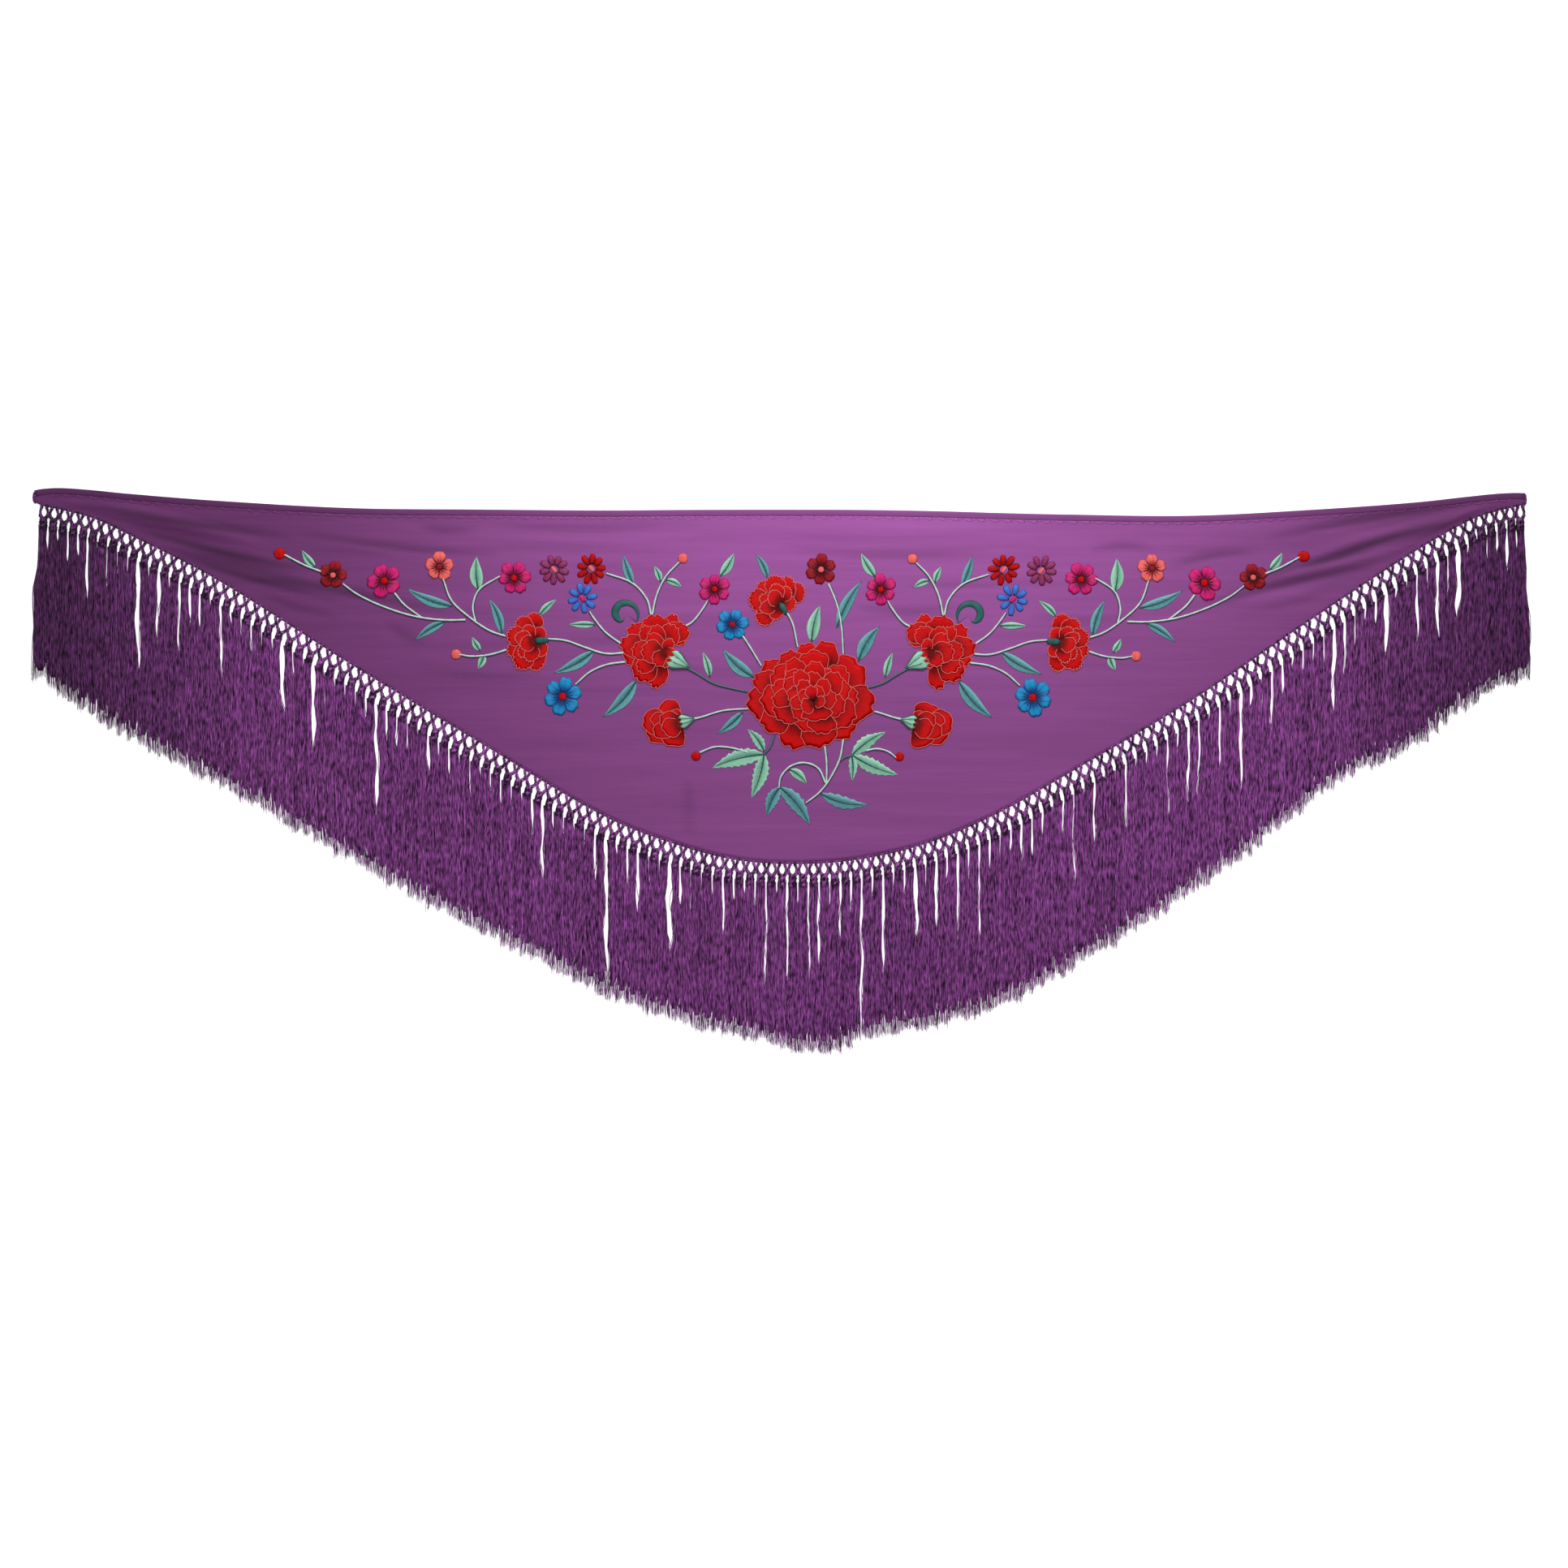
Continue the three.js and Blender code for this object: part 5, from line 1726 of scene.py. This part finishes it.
@dataclass
class Embroidery:
    """The raised sprays of blooms, leaves and stems."""

    cloth: Cloth
    axis: float = 19.0
    tighten_from: float = 300.0
    tighten_by: float = 0.05
    sinks: float = 0.005
    pitch: float = 0.95
    cord_half: float = 0.44
    stem_half: float = 1.05
    seed: int = 8
    patches: dict[Dye, Patchwork] = field(default_factory=dict)
    runs: dict[Dye, list[Run]] = field(default_factory=dict)
    outlines: list[tuple[np.ndarray, np.ndarray]] = field(default_factory=list)

    def mirror(self, x: float, y: float) -> tuple[float, float]:
        """Place of a point of the left spray on the right one."""
        away = self.axis - x
        tightened = away - self.tighten_by * max(0.0, away - self.tighten_from)
        return self.axis + tightened, y - self.sinks * away

    def patch(self, dye: Dye, place: Place, lift: float, crown: float, columns: int, rows: int,
              rise: Shape, tone: Shape, size: tuple[float, float], slant: float = 0.0) -> None:
        """Work one raised patch of satin stitch.

        Args:
            dye: The thread.
            place: Gives X and Y for u from -1 to 1 and v from 0 to 1.
            lift: Height of its rim over the cloth.
            crown: Height of its middle over its rim.
            columns: Steps in u.
            rows: Steps in v.
            rise: Share of the crown at u and v, 0 at the rim.
            tone: Share of the light colour at u and v.
            size: Its width and length, which set the threads' spacing.
            slant: Lean of the threads from v, for leaves.
        """
        u, v = np.meshgrid(np.linspace(-1, 1, columns + 1), np.linspace(0, 1, rows + 1),
                           indexing="ij")
        u, v = u.ravel(), v.ravel()
        x, y = place(u, v)
        z = self.cloth.top(x, y) + lift + crown * np.clip(rise(u, v), 0, 1)
        rim = rim_of(columns, rows)
        middle = np.array([x[rim].mean(), y[rim].mean()])
        under = float(self.cloth.top(middle[0], middle[1])) - 0.2
        points = np.concatenate([np.stack([x, y, z], 1), [[middle[0], middle[1], under]]])
        step = rows + 1
        i, j = np.meshgrid(np.arange(columns), np.arange(rows), indexing="ij")
        a = (i * step + j).ravel()
        faces = np.stack([a, a + step, a + step + 1, a + 1], 1)
        after = np.roll(rim, -1)
        fans = np.stack([np.full(len(rim), len(u)), after, rim], 1)
        if np.sum(x[rim] * y[after] - x[after] * y[rim]) < 0:
            faces, fans = faces[:, ::-1], fans[:, ::-1]
        if slant:
            across = v * size[1] * slant + np.abs(u) * size[0] / 2
            along = np.abs(u) * size[0]
        else:
            across, along = u * size[0] / 2, v * size[1]
        uv = np.stack([across / self.pitch + 3.1 * x[0], along / self.pitch], 1)
        work = self.patches.setdefault(dye, Patchwork())
        work.add(points, [*faces.tolist(), *fans.tolist()], np.concatenate([uv, uv[:1]]),
                 np.concatenate([tone(u, v), [0.1]]))

    def cord(self, dye: Dye, x: np.ndarray, y: np.ndarray, lift: float, half: np.ndarray | float,
             tone: float = 0.9) -> None:
        """Couch one cord along a line on the cloth or on a patch.

        Args:
            dye: The thread.
            x: The line's X.
            y: The line's Y.
            lift: Its height over the cloth.
            half: Half of its thickness.
            tone: Share of the light colour.
        """
        points = np.stack([x, y, self.cloth.top(x, y) + lift], 1)
        radius = np.broadcast_to(np.asarray(half, float), x.shape).copy()
        self.runs.setdefault(dye, []).append(Run(points, radius, np.full(len(x), tone)))

    def ruffled(self, bloom: Bloom, rng: np.random.Generator) -> None:
        """Work a bloom of ruffled petals, each edged with a light cord.

        Args:
            bloom: The bloom.
            rng: Source of the petals' unevenness.
        """
        ruffle = RUFFLES[bloom.kind]
        x, y, radius = ruffle.ground
        middle = bloom.spot(x, y)
        # A flat oval in the deepest tone lies under the petals, as painted shade in the gaps
        # between them.
        self.oval(bloom.dye, float(middle[0]), float(middle[1]), radius, radius, 0.15, 0.05, 0.0,
                  0.05)
        placed: list[tuple[Place, float]] = []
        for level, ring in enumerate(ruffle.rings):
            for over in (0, 1):
                for petal in ring[over::2]:
                    lift = 0.3 + ruffle.layer * level + 0.2 * over
                    placed.append((self.petal(bloom, petal, ruffle, lift, level, rng), lift))
        outlines = [edge_of(place, 0.0) for place, _ in placed]
        self.outlines += outlines
        for number, (place, lift) in enumerate(placed):
            x, y = edge_of(place, 0.3)
            shown = np.ones(len(x), bool)
            for over_x, over_y in outlines[number + 1:]:
                shown &= ~covered(x, y, over_x, over_y)
            ends = np.flatnonzero(np.diff(np.concatenate([[0], shown.astype(int), [0]])))
            for begin, end in zip(ends[::2], ends[1::2]):
                if end - begin > 2:
                    self.cord(bloom.heart, x[begin:end], y[begin:end], lift + 0.25, self.cord_half)

    def petal(self, bloom: Bloom, petal: Petal, ruffle: Ruffle, lift: float, level: int,
              rng: np.random.Generator) -> Place:
        """Work one ruffled petal from its foot to its wavy edge, and give its places.

        Args:
            bloom: Its bloom.
            petal: The petal.
            ruffle: How the bloom is worked.
            lift: Height of its rim over the cloth.
            level: Its ring, from the outside.
            rng: Source of the unevenness.

        Returns:
            The petal's places for u and v.
        """
        run = np.array([petal.tip_x - petal.x, petal.tip_y - petal.y], float)
        length = float(np.linalg.norm(run))
        side = np.array([-run[1], run[0]]) / length
        phase, second = rng.uniform(0, FULL_TURN, 2)
        lobes = ruffle.lobes * rng.uniform(0.85, 1.15)
        twist = rng.uniform(-0.1, 0.1)

        def place(u: np.ndarray, v: np.ndarray) -> tuple[np.ndarray, np.ndarray]:
            """Place of a point of the petal."""
            wide = petal.width / 2 * (0.34 + 0.66 * np.sin(math.pi / 2 * np.minimum(1.2 * v, 1)))
            edge = 1 - 0.34 * np.abs(u) ** 2.3 + twist * u
            edge = edge + ruffle.depth * (0.65 * np.cos(lobes * math.pi * u + phase)
                                          + 0.35 * np.cos(1.7 * lobes * math.pi * u + second))
            far = v * edge
            beside = u * wide * (1 + ruffle.depth * np.sin(6 * v + phase))
            return bloom.spot(petal.x + run[0] * far + side[0] * beside,
                              petal.y + run[1] * far + side[1] * beside)

        light = rng.uniform(-0.1, 0.1)
        # The petal is painted deep at its foot and a little at its sides: painted shade where the
        # petals above overlap it. Its overall tone also differs at random.
        shade_until = 0.36 - 0.05 * level
        self.patch(bloom.dye, place, lift, 0.18, 18, 7,
                   lambda u, v: np.clip(1 - u**4, 0, 1) ** 0.5 * np.sin(math.pi * v**1.4) ** 0.5,
                   lambda u, v: (0.06 + light + 0.92 * ease((v - shade_until) / 0.45)
                                 * (1 - 0.45 * np.abs(u) ** 3)),
                   (petal.width, length))
        return place

    def round_petalled(self, bloom: Bloom, rng: np.random.Generator) -> None:
        """Work a small flower of round petals with a raised heart.

        Args:
            bloom: The flower.
            rng: Source of the unevenness.
        """
        step = FULL_TURN / bloom.petals
        for petal in range(bloom.petals):
            middle = step * (petal + rng.uniform(-0.06, 0.06))
            size = rng.uniform(0.92, 1.05)
            nick = rng.uniform(0.01, 0.06)
            phase = rng.uniform(0, FULL_TURN)

            def place(u: np.ndarray, v: np.ndarray, middle: float = middle, size: float = size,
                      nick: float = nick, phase: float = phase) -> tuple[np.ndarray, np.ndarray]:
                """Place of a point of the petal."""
                angle = middle + u * step * 0.52 * (0.62 + 0.38 * np.sin(math.pi * 0.62 * v))
                edge = 1 - 0.3 * np.abs(u) ** 3 - nick * np.cos(1.5 * math.pi * u) ** 2
                edge = edge + 0.018 * np.cos(17 * u + phase)
                far = 0.16 + (edge * size - 0.16) * v
                return bloom.spot(bloom.half_width * far * np.cos(angle),
                                  bloom.half_height * far * np.sin(angle))

            def tone(u: np.ndarray, v: np.ndarray, phase: float = phase) -> np.ndarray:
                """Dark towards the heart and beside the next petals, with dark radial stitches."""
                shade = 0.1 + 0.8 * ease((v - 0.15) / 0.6) * (1 - 0.6 * np.abs(u) ** 3)
                return shade + 0.16 * np.sin(9 * u + phase)

            self.patch(bloom.dye, place, 0.35 + 0.12 * (petal % 2), 0.6, 14, 6,
                       lambda u, v: (np.clip(1 - u**4, 0, 1) ** 0.5
                                     * np.sin(math.pi * v**1.2) ** 0.5),
                       tone, (step * bloom.half_width * 0.9, bloom.half_width * 0.84))
            dark = Dye.CRIMSON if bloom.dye in (Dye.CORAL, Dye.MAGENTA) else bloom.dye
            for offset, reach in ((-0.5, 0.62), (-0.17, 0.5), (0.15, 0.55)):
                angle = middle + offset * step
                far = np.linspace(0.2, reach, 4)
                x, y = bloom.spot(bloom.half_width * far * math.cos(angle),
                                  bloom.half_height * far * math.sin(angle))
                self.cord(dark, x, y, 1.2, np.array([0.42, 0.36, 0.3, 0.15]), 0.0)
        heart = 0.2 * bloom.half_width
        self.oval(bloom.heart, bloom.x, bloom.y, heart, heart, 0.7, 0.8, 0.0)
        turn = np.linspace(0, FULL_TURN, 24, endpoint=False)
        self.outlines.append((bloom.x + 0.84 * bloom.half_width * np.cos(turn),
                              bloom.y + 0.84 * bloom.half_height * np.sin(turn)))

    def oval(self, dye: Dye, x: float, y: float, half_width: float, half_height: float, lift: float,
             crown: float, turn: float, tone: float = 0.8) -> None:
        """Work a domed round or oval of satin stitch.

        Args:
            dye: The thread.
            x: Its middle's X.
            y: Its middle's Y.
            half_width: Half of its width.
            half_height: Half of its height.
            lift: Height of its rim over the cloth.
            crown: Height of its middle over its rim.
            turn: Its turn from X.
            tone: Share of the light colour.
        """

        def place(u: np.ndarray, v: np.ndarray) -> tuple[np.ndarray, np.ndarray]:
            """Place of a point of the oval."""
            w = 2 * v - 1
            across = half_width * u * np.sqrt(1 - w**2 / 2)
            along = half_height * w * np.sqrt(1 - u**2 / 2)
            return (x + across * math.cos(turn) - along * math.sin(turn),
                    y + across * math.sin(turn) + along * math.cos(turn))

        self.patch(dye, place, lift, crown, 8, 8,
                   lambda u, v: np.clip((1 - u**2) * (1 - (2 * v - 1) ** 2), 0, 1) ** 0.5,
                   lambda u, v: tone + 0.15 * np.sin(5 * u), (2 * half_width, 2 * half_height))

    def daisy(self, bloom: Bloom, rng: np.random.Generator) -> None:
        """Work a daisy of separate petals round a small heart.

        Args:
            bloom: The daisy.
            rng: Source of the unevenness.
        """
        step = FULL_TURN / bloom.petals
        for petal in range(bloom.petals):
            angle = step * (petal + rng.uniform(-0.08, 0.08))
            size = rng.uniform(0.88, 1.05)
            way = np.array([math.cos(angle), math.sin(angle)])

            def place(u: np.ndarray, v: np.ndarray, way: np.ndarray = way,
                      size: float = size) -> tuple[np.ndarray, np.ndarray]:
                """Place of a point of the petal."""
                far = bloom.half_width * (0.26 + (size - 0.26) * v)
                swell = np.sin(math.pi * (0.08 + 0.8 * v**1.25)) ** 0.8
                wide = bloom.half_width * 0.19 * (0.12 + swell)
                return bloom.spot(way[0] * far - way[1] * u * wide,
                                  way[1] * far + way[0] * u * wide)

            self.patch(bloom.dye, place, 0.35, 1.0, 6, 6,
                       lambda u, v: np.clip(1 - u**2, 0, 1) ** 0.5 * np.sin(math.pi * v) ** 0.4,
                       lambda u, v: 0.4 + 0.5 * v - 0.3 * np.abs(u),
                       (bloom.half_width * 0.4, bloom.half_width * 0.8))
        self.oval(bloom.heart, bloom.x, bloom.y, 2.2, 4.4, 0.7, 0.9, 0.7 * bloom.side)

    def leaf(self, leaf: Leaf) -> None:
        """Work one leaf in two slanted halves with a dark vein.

        Args:
            leaf: The leaf.
        """
        run = np.array([leaf.tip_x - leaf.x, leaf.tip_y - leaf.y])
        length = float(np.linalg.norm(run))
        side = np.array([-run[1], run[0]]) / length

        def place(u: np.ndarray, v: np.ndarray) -> tuple[np.ndarray, np.ndarray]:
            """Place of a point of the leaf."""
            bow = leaf.bow * length * 4 * v * (1 - v)
            wide = leaf.width / 2 * np.sin(math.pi * v**0.8) ** 0.9 * (1 - 0.22 * v**3)
            if leaf.teeth:
                wide = wide * (1 - 0.3 * ((v * leaf.teeth) % 1) * np.abs(u) ** 2)
            beside = bow + u * np.maximum(wide, 0.12)
            return leaf.x + run[0] * v + side[0] * beside, leaf.y + run[1] * v + side[1] * beside

        rows = leaf.teeth * 4 if leaf.teeth else 10
        # Each leaf is painted darker beside its vein, where it dips: painted shade. Its rim is
        # pale, partly a lighter edge and partly painted highlight, and one half is a little lighter
        # than the other.
        self.patch(leaf.dye, place, 0.12, 0.8, 12, rows,
                   lambda u, v: ((4 * np.abs(u) * (1 - np.abs(u))) ** 0.6
                                 * np.sin(math.pi * v) ** 0.5),
                   lambda u, v: (0.18 + 0.5 * ease(np.abs(u) * 1.3) + 0.1 * np.sign(u)
                                 + 0.4 * ease((np.abs(u) - 0.6) / 0.4)),
                   (leaf.width, length), 0.8)
        v = np.linspace(0.0, 0.9, 10)
        x, y = place(np.zeros(10), v)
        self.cord(Dye.PINE, x, y, 0.5, np.interp(v, [0, 0.3, 0.9], [0.8, 0.72, 0.2]), 0.55)

    def cup(self, cup: Leaf) -> None:
        """Work the green cup between a stem and its petals.

        Args:
            cup: The cup, from its stem to the petals.
        """
        run = np.array([cup.tip_x - cup.x, cup.tip_y - cup.y])
        length = float(np.linalg.norm(run))
        side = np.array([-run[1], run[0]]) / length
        if cup.dye is Dye.PINE:
            turn = math.atan2(run[1], run[0])
            self.oval(cup.dye, (cup.x + cup.tip_x) / 2, (cup.y + cup.tip_y) / 2, length / 2,
                      cup.width / 2, 1.2, 1.5, turn, 0.6)
            return

        def place(u: np.ndarray, v: np.ndarray) -> tuple[np.ndarray, np.ndarray]:
            """Place of a point of the cup."""
            wide = cup.width / 2 * (0.16 + 0.84 * ease(v * 1.1) ** 0.85)
            far = v + 0.13 * np.cos(3 * math.pi * u) * v**2
            return (cup.x + run[0] * far + side[0] * u * wide,
                    cup.y + run[1] * far + side[1] * u * wide)

        self.patch(cup.dye, place, 1.2, 1.5, 10, 6,
                   lambda u, v: (np.clip(1 - u**4, 0, 1) ** 0.5
                                 * np.sin(math.pi * (0.1 + 0.85 * v)) ** 0.5),
                   lambda u, v: 0.25 + 0.45 * v + 0.3 * np.cos(7 * u), (cup.width, length))
        for share, half in ((-1.0, 0.5), (-0.36, 0.35), (0.3, 0.35), (1.0, 0.5)):
            x, y = place(np.full(5, share), np.linspace(0.05, 0.9, 5))
            self.cord(Dye.PINE, x, y, 1.5 if abs(share) == 1 else 2.5, half, 0.35)

    def stem(self, stem: Stem) -> None:
        """Work one stem: a pale cord with a thin dark one along its lower side, partly a darker
        outline and partly painted shadow.

        Args:
            stem: The stem.
        """
        line = catmull(np.array(stem.places, float), 24)
        shown = np.ones(len(line), bool)
        for over_x, over_y in self.outlines:
            shown &= ~covered(line[:, 0], line[:, 1], over_x, over_y)
        seen = np.flatnonzero(shown)
        line = line[seen[0]:seen[-1] + 1]
        steps = np.linalg.norm(np.diff(line, axis=0), axis=1)
        length = np.concatenate([[0], np.cumsum(steps)])
        even = np.linspace(0, length[-1], max(4, int(length[-1] / 3.0)))
        x, y = np.interp(even, length, line[:, 0]), np.interp(even, length, line[:, 1])
        way = np.stack([np.gradient(x), np.gradient(y)], 1)
        way /= np.linalg.norm(way, axis=1)[:, None]
        lower = np.stack([way[:, 1], -way[:, 0]], 1)
        # The dark cord goes on the lower, right side, away from the light: it is partly a darker
        # outline and partly painted shadow.
        if lower[:, 1].sum() - 0.3 * lower[:, 0].sum() > 0:
            lower = -lower
        taper = np.interp(even / even[-1], [0, 0.85, 1], [1.05, 0.95, 0.75])
        wave = 0.12 * np.sin(even / 1.9)
        self.cord(stem.dye, x, y, 0.6, self.stem_half * taper * (1 + wave), 0.85)
        shade = Dye.PINE if stem.dye is Dye.SAGE else stem.dye
        self.cord(shade, x + lower[:, 0] * 1.15, y + lower[:, 1] * 1.15, 0.35, 0.55 * taper, 0.15)

    def hook(self, tendril: Sequence[HookPlace]) -> None:
        """Work one hooked tendril, thick in its bend and thin at its end.

        Args:
            tendril: The places of its middle line.
        """
        line = catmull(np.array([[spot.x, spot.y, spot.half] for spot in tendril]), 3)
        way = np.gradient(line[:, :2], axis=0)
        way /= np.linalg.norm(way, axis=1)[:, None]
        steps = np.linspace(0, 1, len(line))

        def place(u: np.ndarray, v: np.ndarray) -> tuple[np.ndarray, np.ndarray]:
            """Place of a point of the tendril."""
            x, y, half, way_x, way_y = (np.interp(v, steps, values) for values in
                                        (*line.T, *way.T))
            return x + u * half * way_y, y - u * half * way_x

        self.patch(Dye.PINE, place, -0.12, 1.3, 8, 33,
                   lambda u, v: np.clip(1 - u**2, 0, 1) ** 0.5,
                   lambda u, v: 0.95 - 0.8 * np.abs(u) ** 2 + 0.15 * np.sin(30 * v),
                   (7.0, 50.0))

    def bloom(self, bloom: Bloom, rng: np.random.Generator) -> None:
        """Work one bloom in the way of its kind.

        Args:
            bloom: The bloom.
            rng: Source of the unevenness.
        """
        if bloom.kind in RUFFLES:
            self.ruffled(bloom, rng)
        elif bloom.kind is BloomKind.ROUND:
            self.round_petalled(bloom, rng)
        elif bloom.kind is BloomKind.DAISY:
            self.daisy(bloom, rng)
        else:
            self.oval(bloom.dye, bloom.x, bloom.y, bloom.half_width, bloom.half_height, 0.4, 1.3,
                      0.0)

    def flipped(self, bloom: Bloom) -> Bloom:
        """The same bloom on the right spray."""
        x, y = self.mirror(bloom.x, bloom.y)
        return replace(bloom, x=x, y=y, side=-1)

    def flipped_leaf(self, leaf: Leaf) -> Leaf:
        """The same leaf or cup on the right spray."""
        x, y = self.mirror(leaf.x, leaf.y)
        tip_x, tip_y = self.mirror(leaf.tip_x, leaf.tip_y)
        return replace(leaf, x=x, y=y, tip_x=tip_x, tip_y=tip_y, bow=-leaf.bow)

    def flipped_stem(self, stem: Stem) -> Stem:
        """The same stem on the right spray."""
        return Stem(stem.dye, tuple(self.mirror(*place) for place in stem.places))

    def build(self, sweeper: Sweeper) -> list[bpy.types.Object]:
        """Work the whole embroidery, one piece for each thread and way of stitching.

        Args:
            sweeper: Makes the cords.

        Returns:
            The new pieces.
        """
        rng = np.random.default_rng(self.seed)
        for bloom in (*MIDDLE_BLOOMS, *SIDE_BLOOMS, *map(self.flipped, SIDE_BLOOMS)):
            self.bloom(bloom, rng)
        for leaf in (*MIDDLE_LEAVES, *SIDE_LEAVES, *map(self.flipped_leaf, SIDE_LEAVES)):
            self.leaf(leaf)
        for cup in (*MIDDLE_CUPS, *SIDE_CUPS, *map(self.flipped_leaf, SIDE_CUPS)):
            self.cup(cup)
        for stem in (*MIDDLE_STEMS, *SIDE_STEMS, *map(self.flipped_stem, SIDE_STEMS)):
            self.stem(stem)
        tendril = TENDRIL.line()
        self.hook(tendril)
        self.hook([HookPlace(*self.mirror(spot.x, spot.y), spot.half) for spot in tendril])
        made = []
        for dye in Dye:
            silk = SILKS[dye]
            material = silk.material(f"silk_{dye.value}")
            if dye in self.patches:
                piece = self.patches[dye].piece(f"satin_{dye.value}", material)
                made.append(fit(piece, silk.slot, "embroidery"))
            if dye in self.runs:
                piece = sweeper.sweep(f"cord_{dye.value}", self.runs[dye], 5, material)
                made.append(fit(piece, silk.slot, "embroidery"))
        return made


@dataclass
class Studio:
    """Camera straight above, a pale floor and soft light."""

    photo_width: float = 1680.84
    photo_x: float = 4.35
    photo_y: float = -14.79
    camera_height: float = 4200.0
    sensor: float = 36.0
    key_power: float = 30.0
    fill: float = 0.285

    def build(self) -> None:
        """Set up the camera, the floor and the lights."""
        scene = bpy.context.scene
        scene.view_settings.view_transform = "Standard"
        lens = bpy.data.cameras.new("camera")
        lens.sensor_width = self.sensor
        lens.lens = self.sensor * self.camera_height / self.photo_width
        lens.clip_end = 50.0
        camera = bpy.data.objects.new("camera", lens)
        camera.location = (self.photo_x * MM, self.photo_y * MM, self.camera_height * MM)
        scene.collection.objects.link(camera)
        scene.camera = camera
        self.build_floor()
        self.light("key", (0.2, 1.45, 1.15), (0.1, 0.0, 0.0), (1.9, 0.7), self.key_power)
        self.light("top", (0.0, 0.1, 2.4), (0.0, 0.0, 0.0), (2.0, 1.2), self.key_power * 0.3)
        world = bpy.data.worlds.new("studio")
        world.use_nodes = True
        world.node_tree.nodes["Background"].inputs["Color"].default_value = (1.0, 1.0, 1.0, 1.0)
        world.node_tree.nodes["Background"].inputs["Strength"].default_value = self.fill
        scene.world = world

    def build_floor(self) -> None:
        """Lay the pale floor just under the shawl."""
        half = 6.0
        mesh = bpy.data.meshes.new("floor")
        corners = [(-half, -half, 0), (half, -half, 0), (half, half, 0), (-half, half, 0)]
        mesh.from_pydata(corners, [], [(0, 1, 2, 3)])
        material = bpy.data.materials.new("floor")
        material.use_nodes = True
        shader = material.node_tree.nodes["Principled BSDF"]
        preset(shader, {"Base Color": (0.7, 0.7, 0.7, 1.0), "Roughness": 0.9,
                        "Specular IOR Level": 0.1, "Emission Color": (1.0, 1.0, 1.0, 1.0),
                        "Emission Strength": 0.7})
        mesh.materials.append(material)
        floor = bpy.data.objects.new("floor", mesh)
        bpy.context.scene.collection.objects.link(floor)

    def light(self, name: str, place: tuple[float, float, float], aim: tuple[float, float, float],
              size: tuple[float, float], power: float) -> None:
        """Hang one soft box, in metres, aimed at a point.

        Args:
            name: The light's name.
            place: Where it hangs.
            aim: What it points at.
            size: Its width and height.
            power: Its power in watts.
        """
        data = bpy.data.lights.new(name, "AREA")
        data.shape = "RECTANGLE"
        data.size, data.size_y = size
        data.energy = power
        lamp = bpy.data.objects.new(name, data)
        lamp.location = place
        way = np.array(aim) - np.array(place)
        level = math.hypot(way[0], way[1])
        turned = math.atan2(way[1], way[0]) - math.pi / 2
        lamp.rotation_euler = (math.atan2(level, -way[2]), 0.0, turned)
        bpy.context.scene.collection.objects.link(lamp)


def main() -> None:
    """Build the shawl and its studio, and report each part."""
    logging.basicConfig(level=logging.INFO, format="%(message)s")
    Studio().build()
    sweeper = Sweeper()
    cloth = Cloth()
    panel, *sewn = cloth.build(sweeper, StitchRow())
    sewn += Embroidery(cloth).build(sweeper)
    sewn += Fringe().build(sweeper)
    cloth.area()
    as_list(sewn)
    log.info("flat area of the cloth: %.3f m2", cloth.area())


if __name__ == "__main__":
    main()
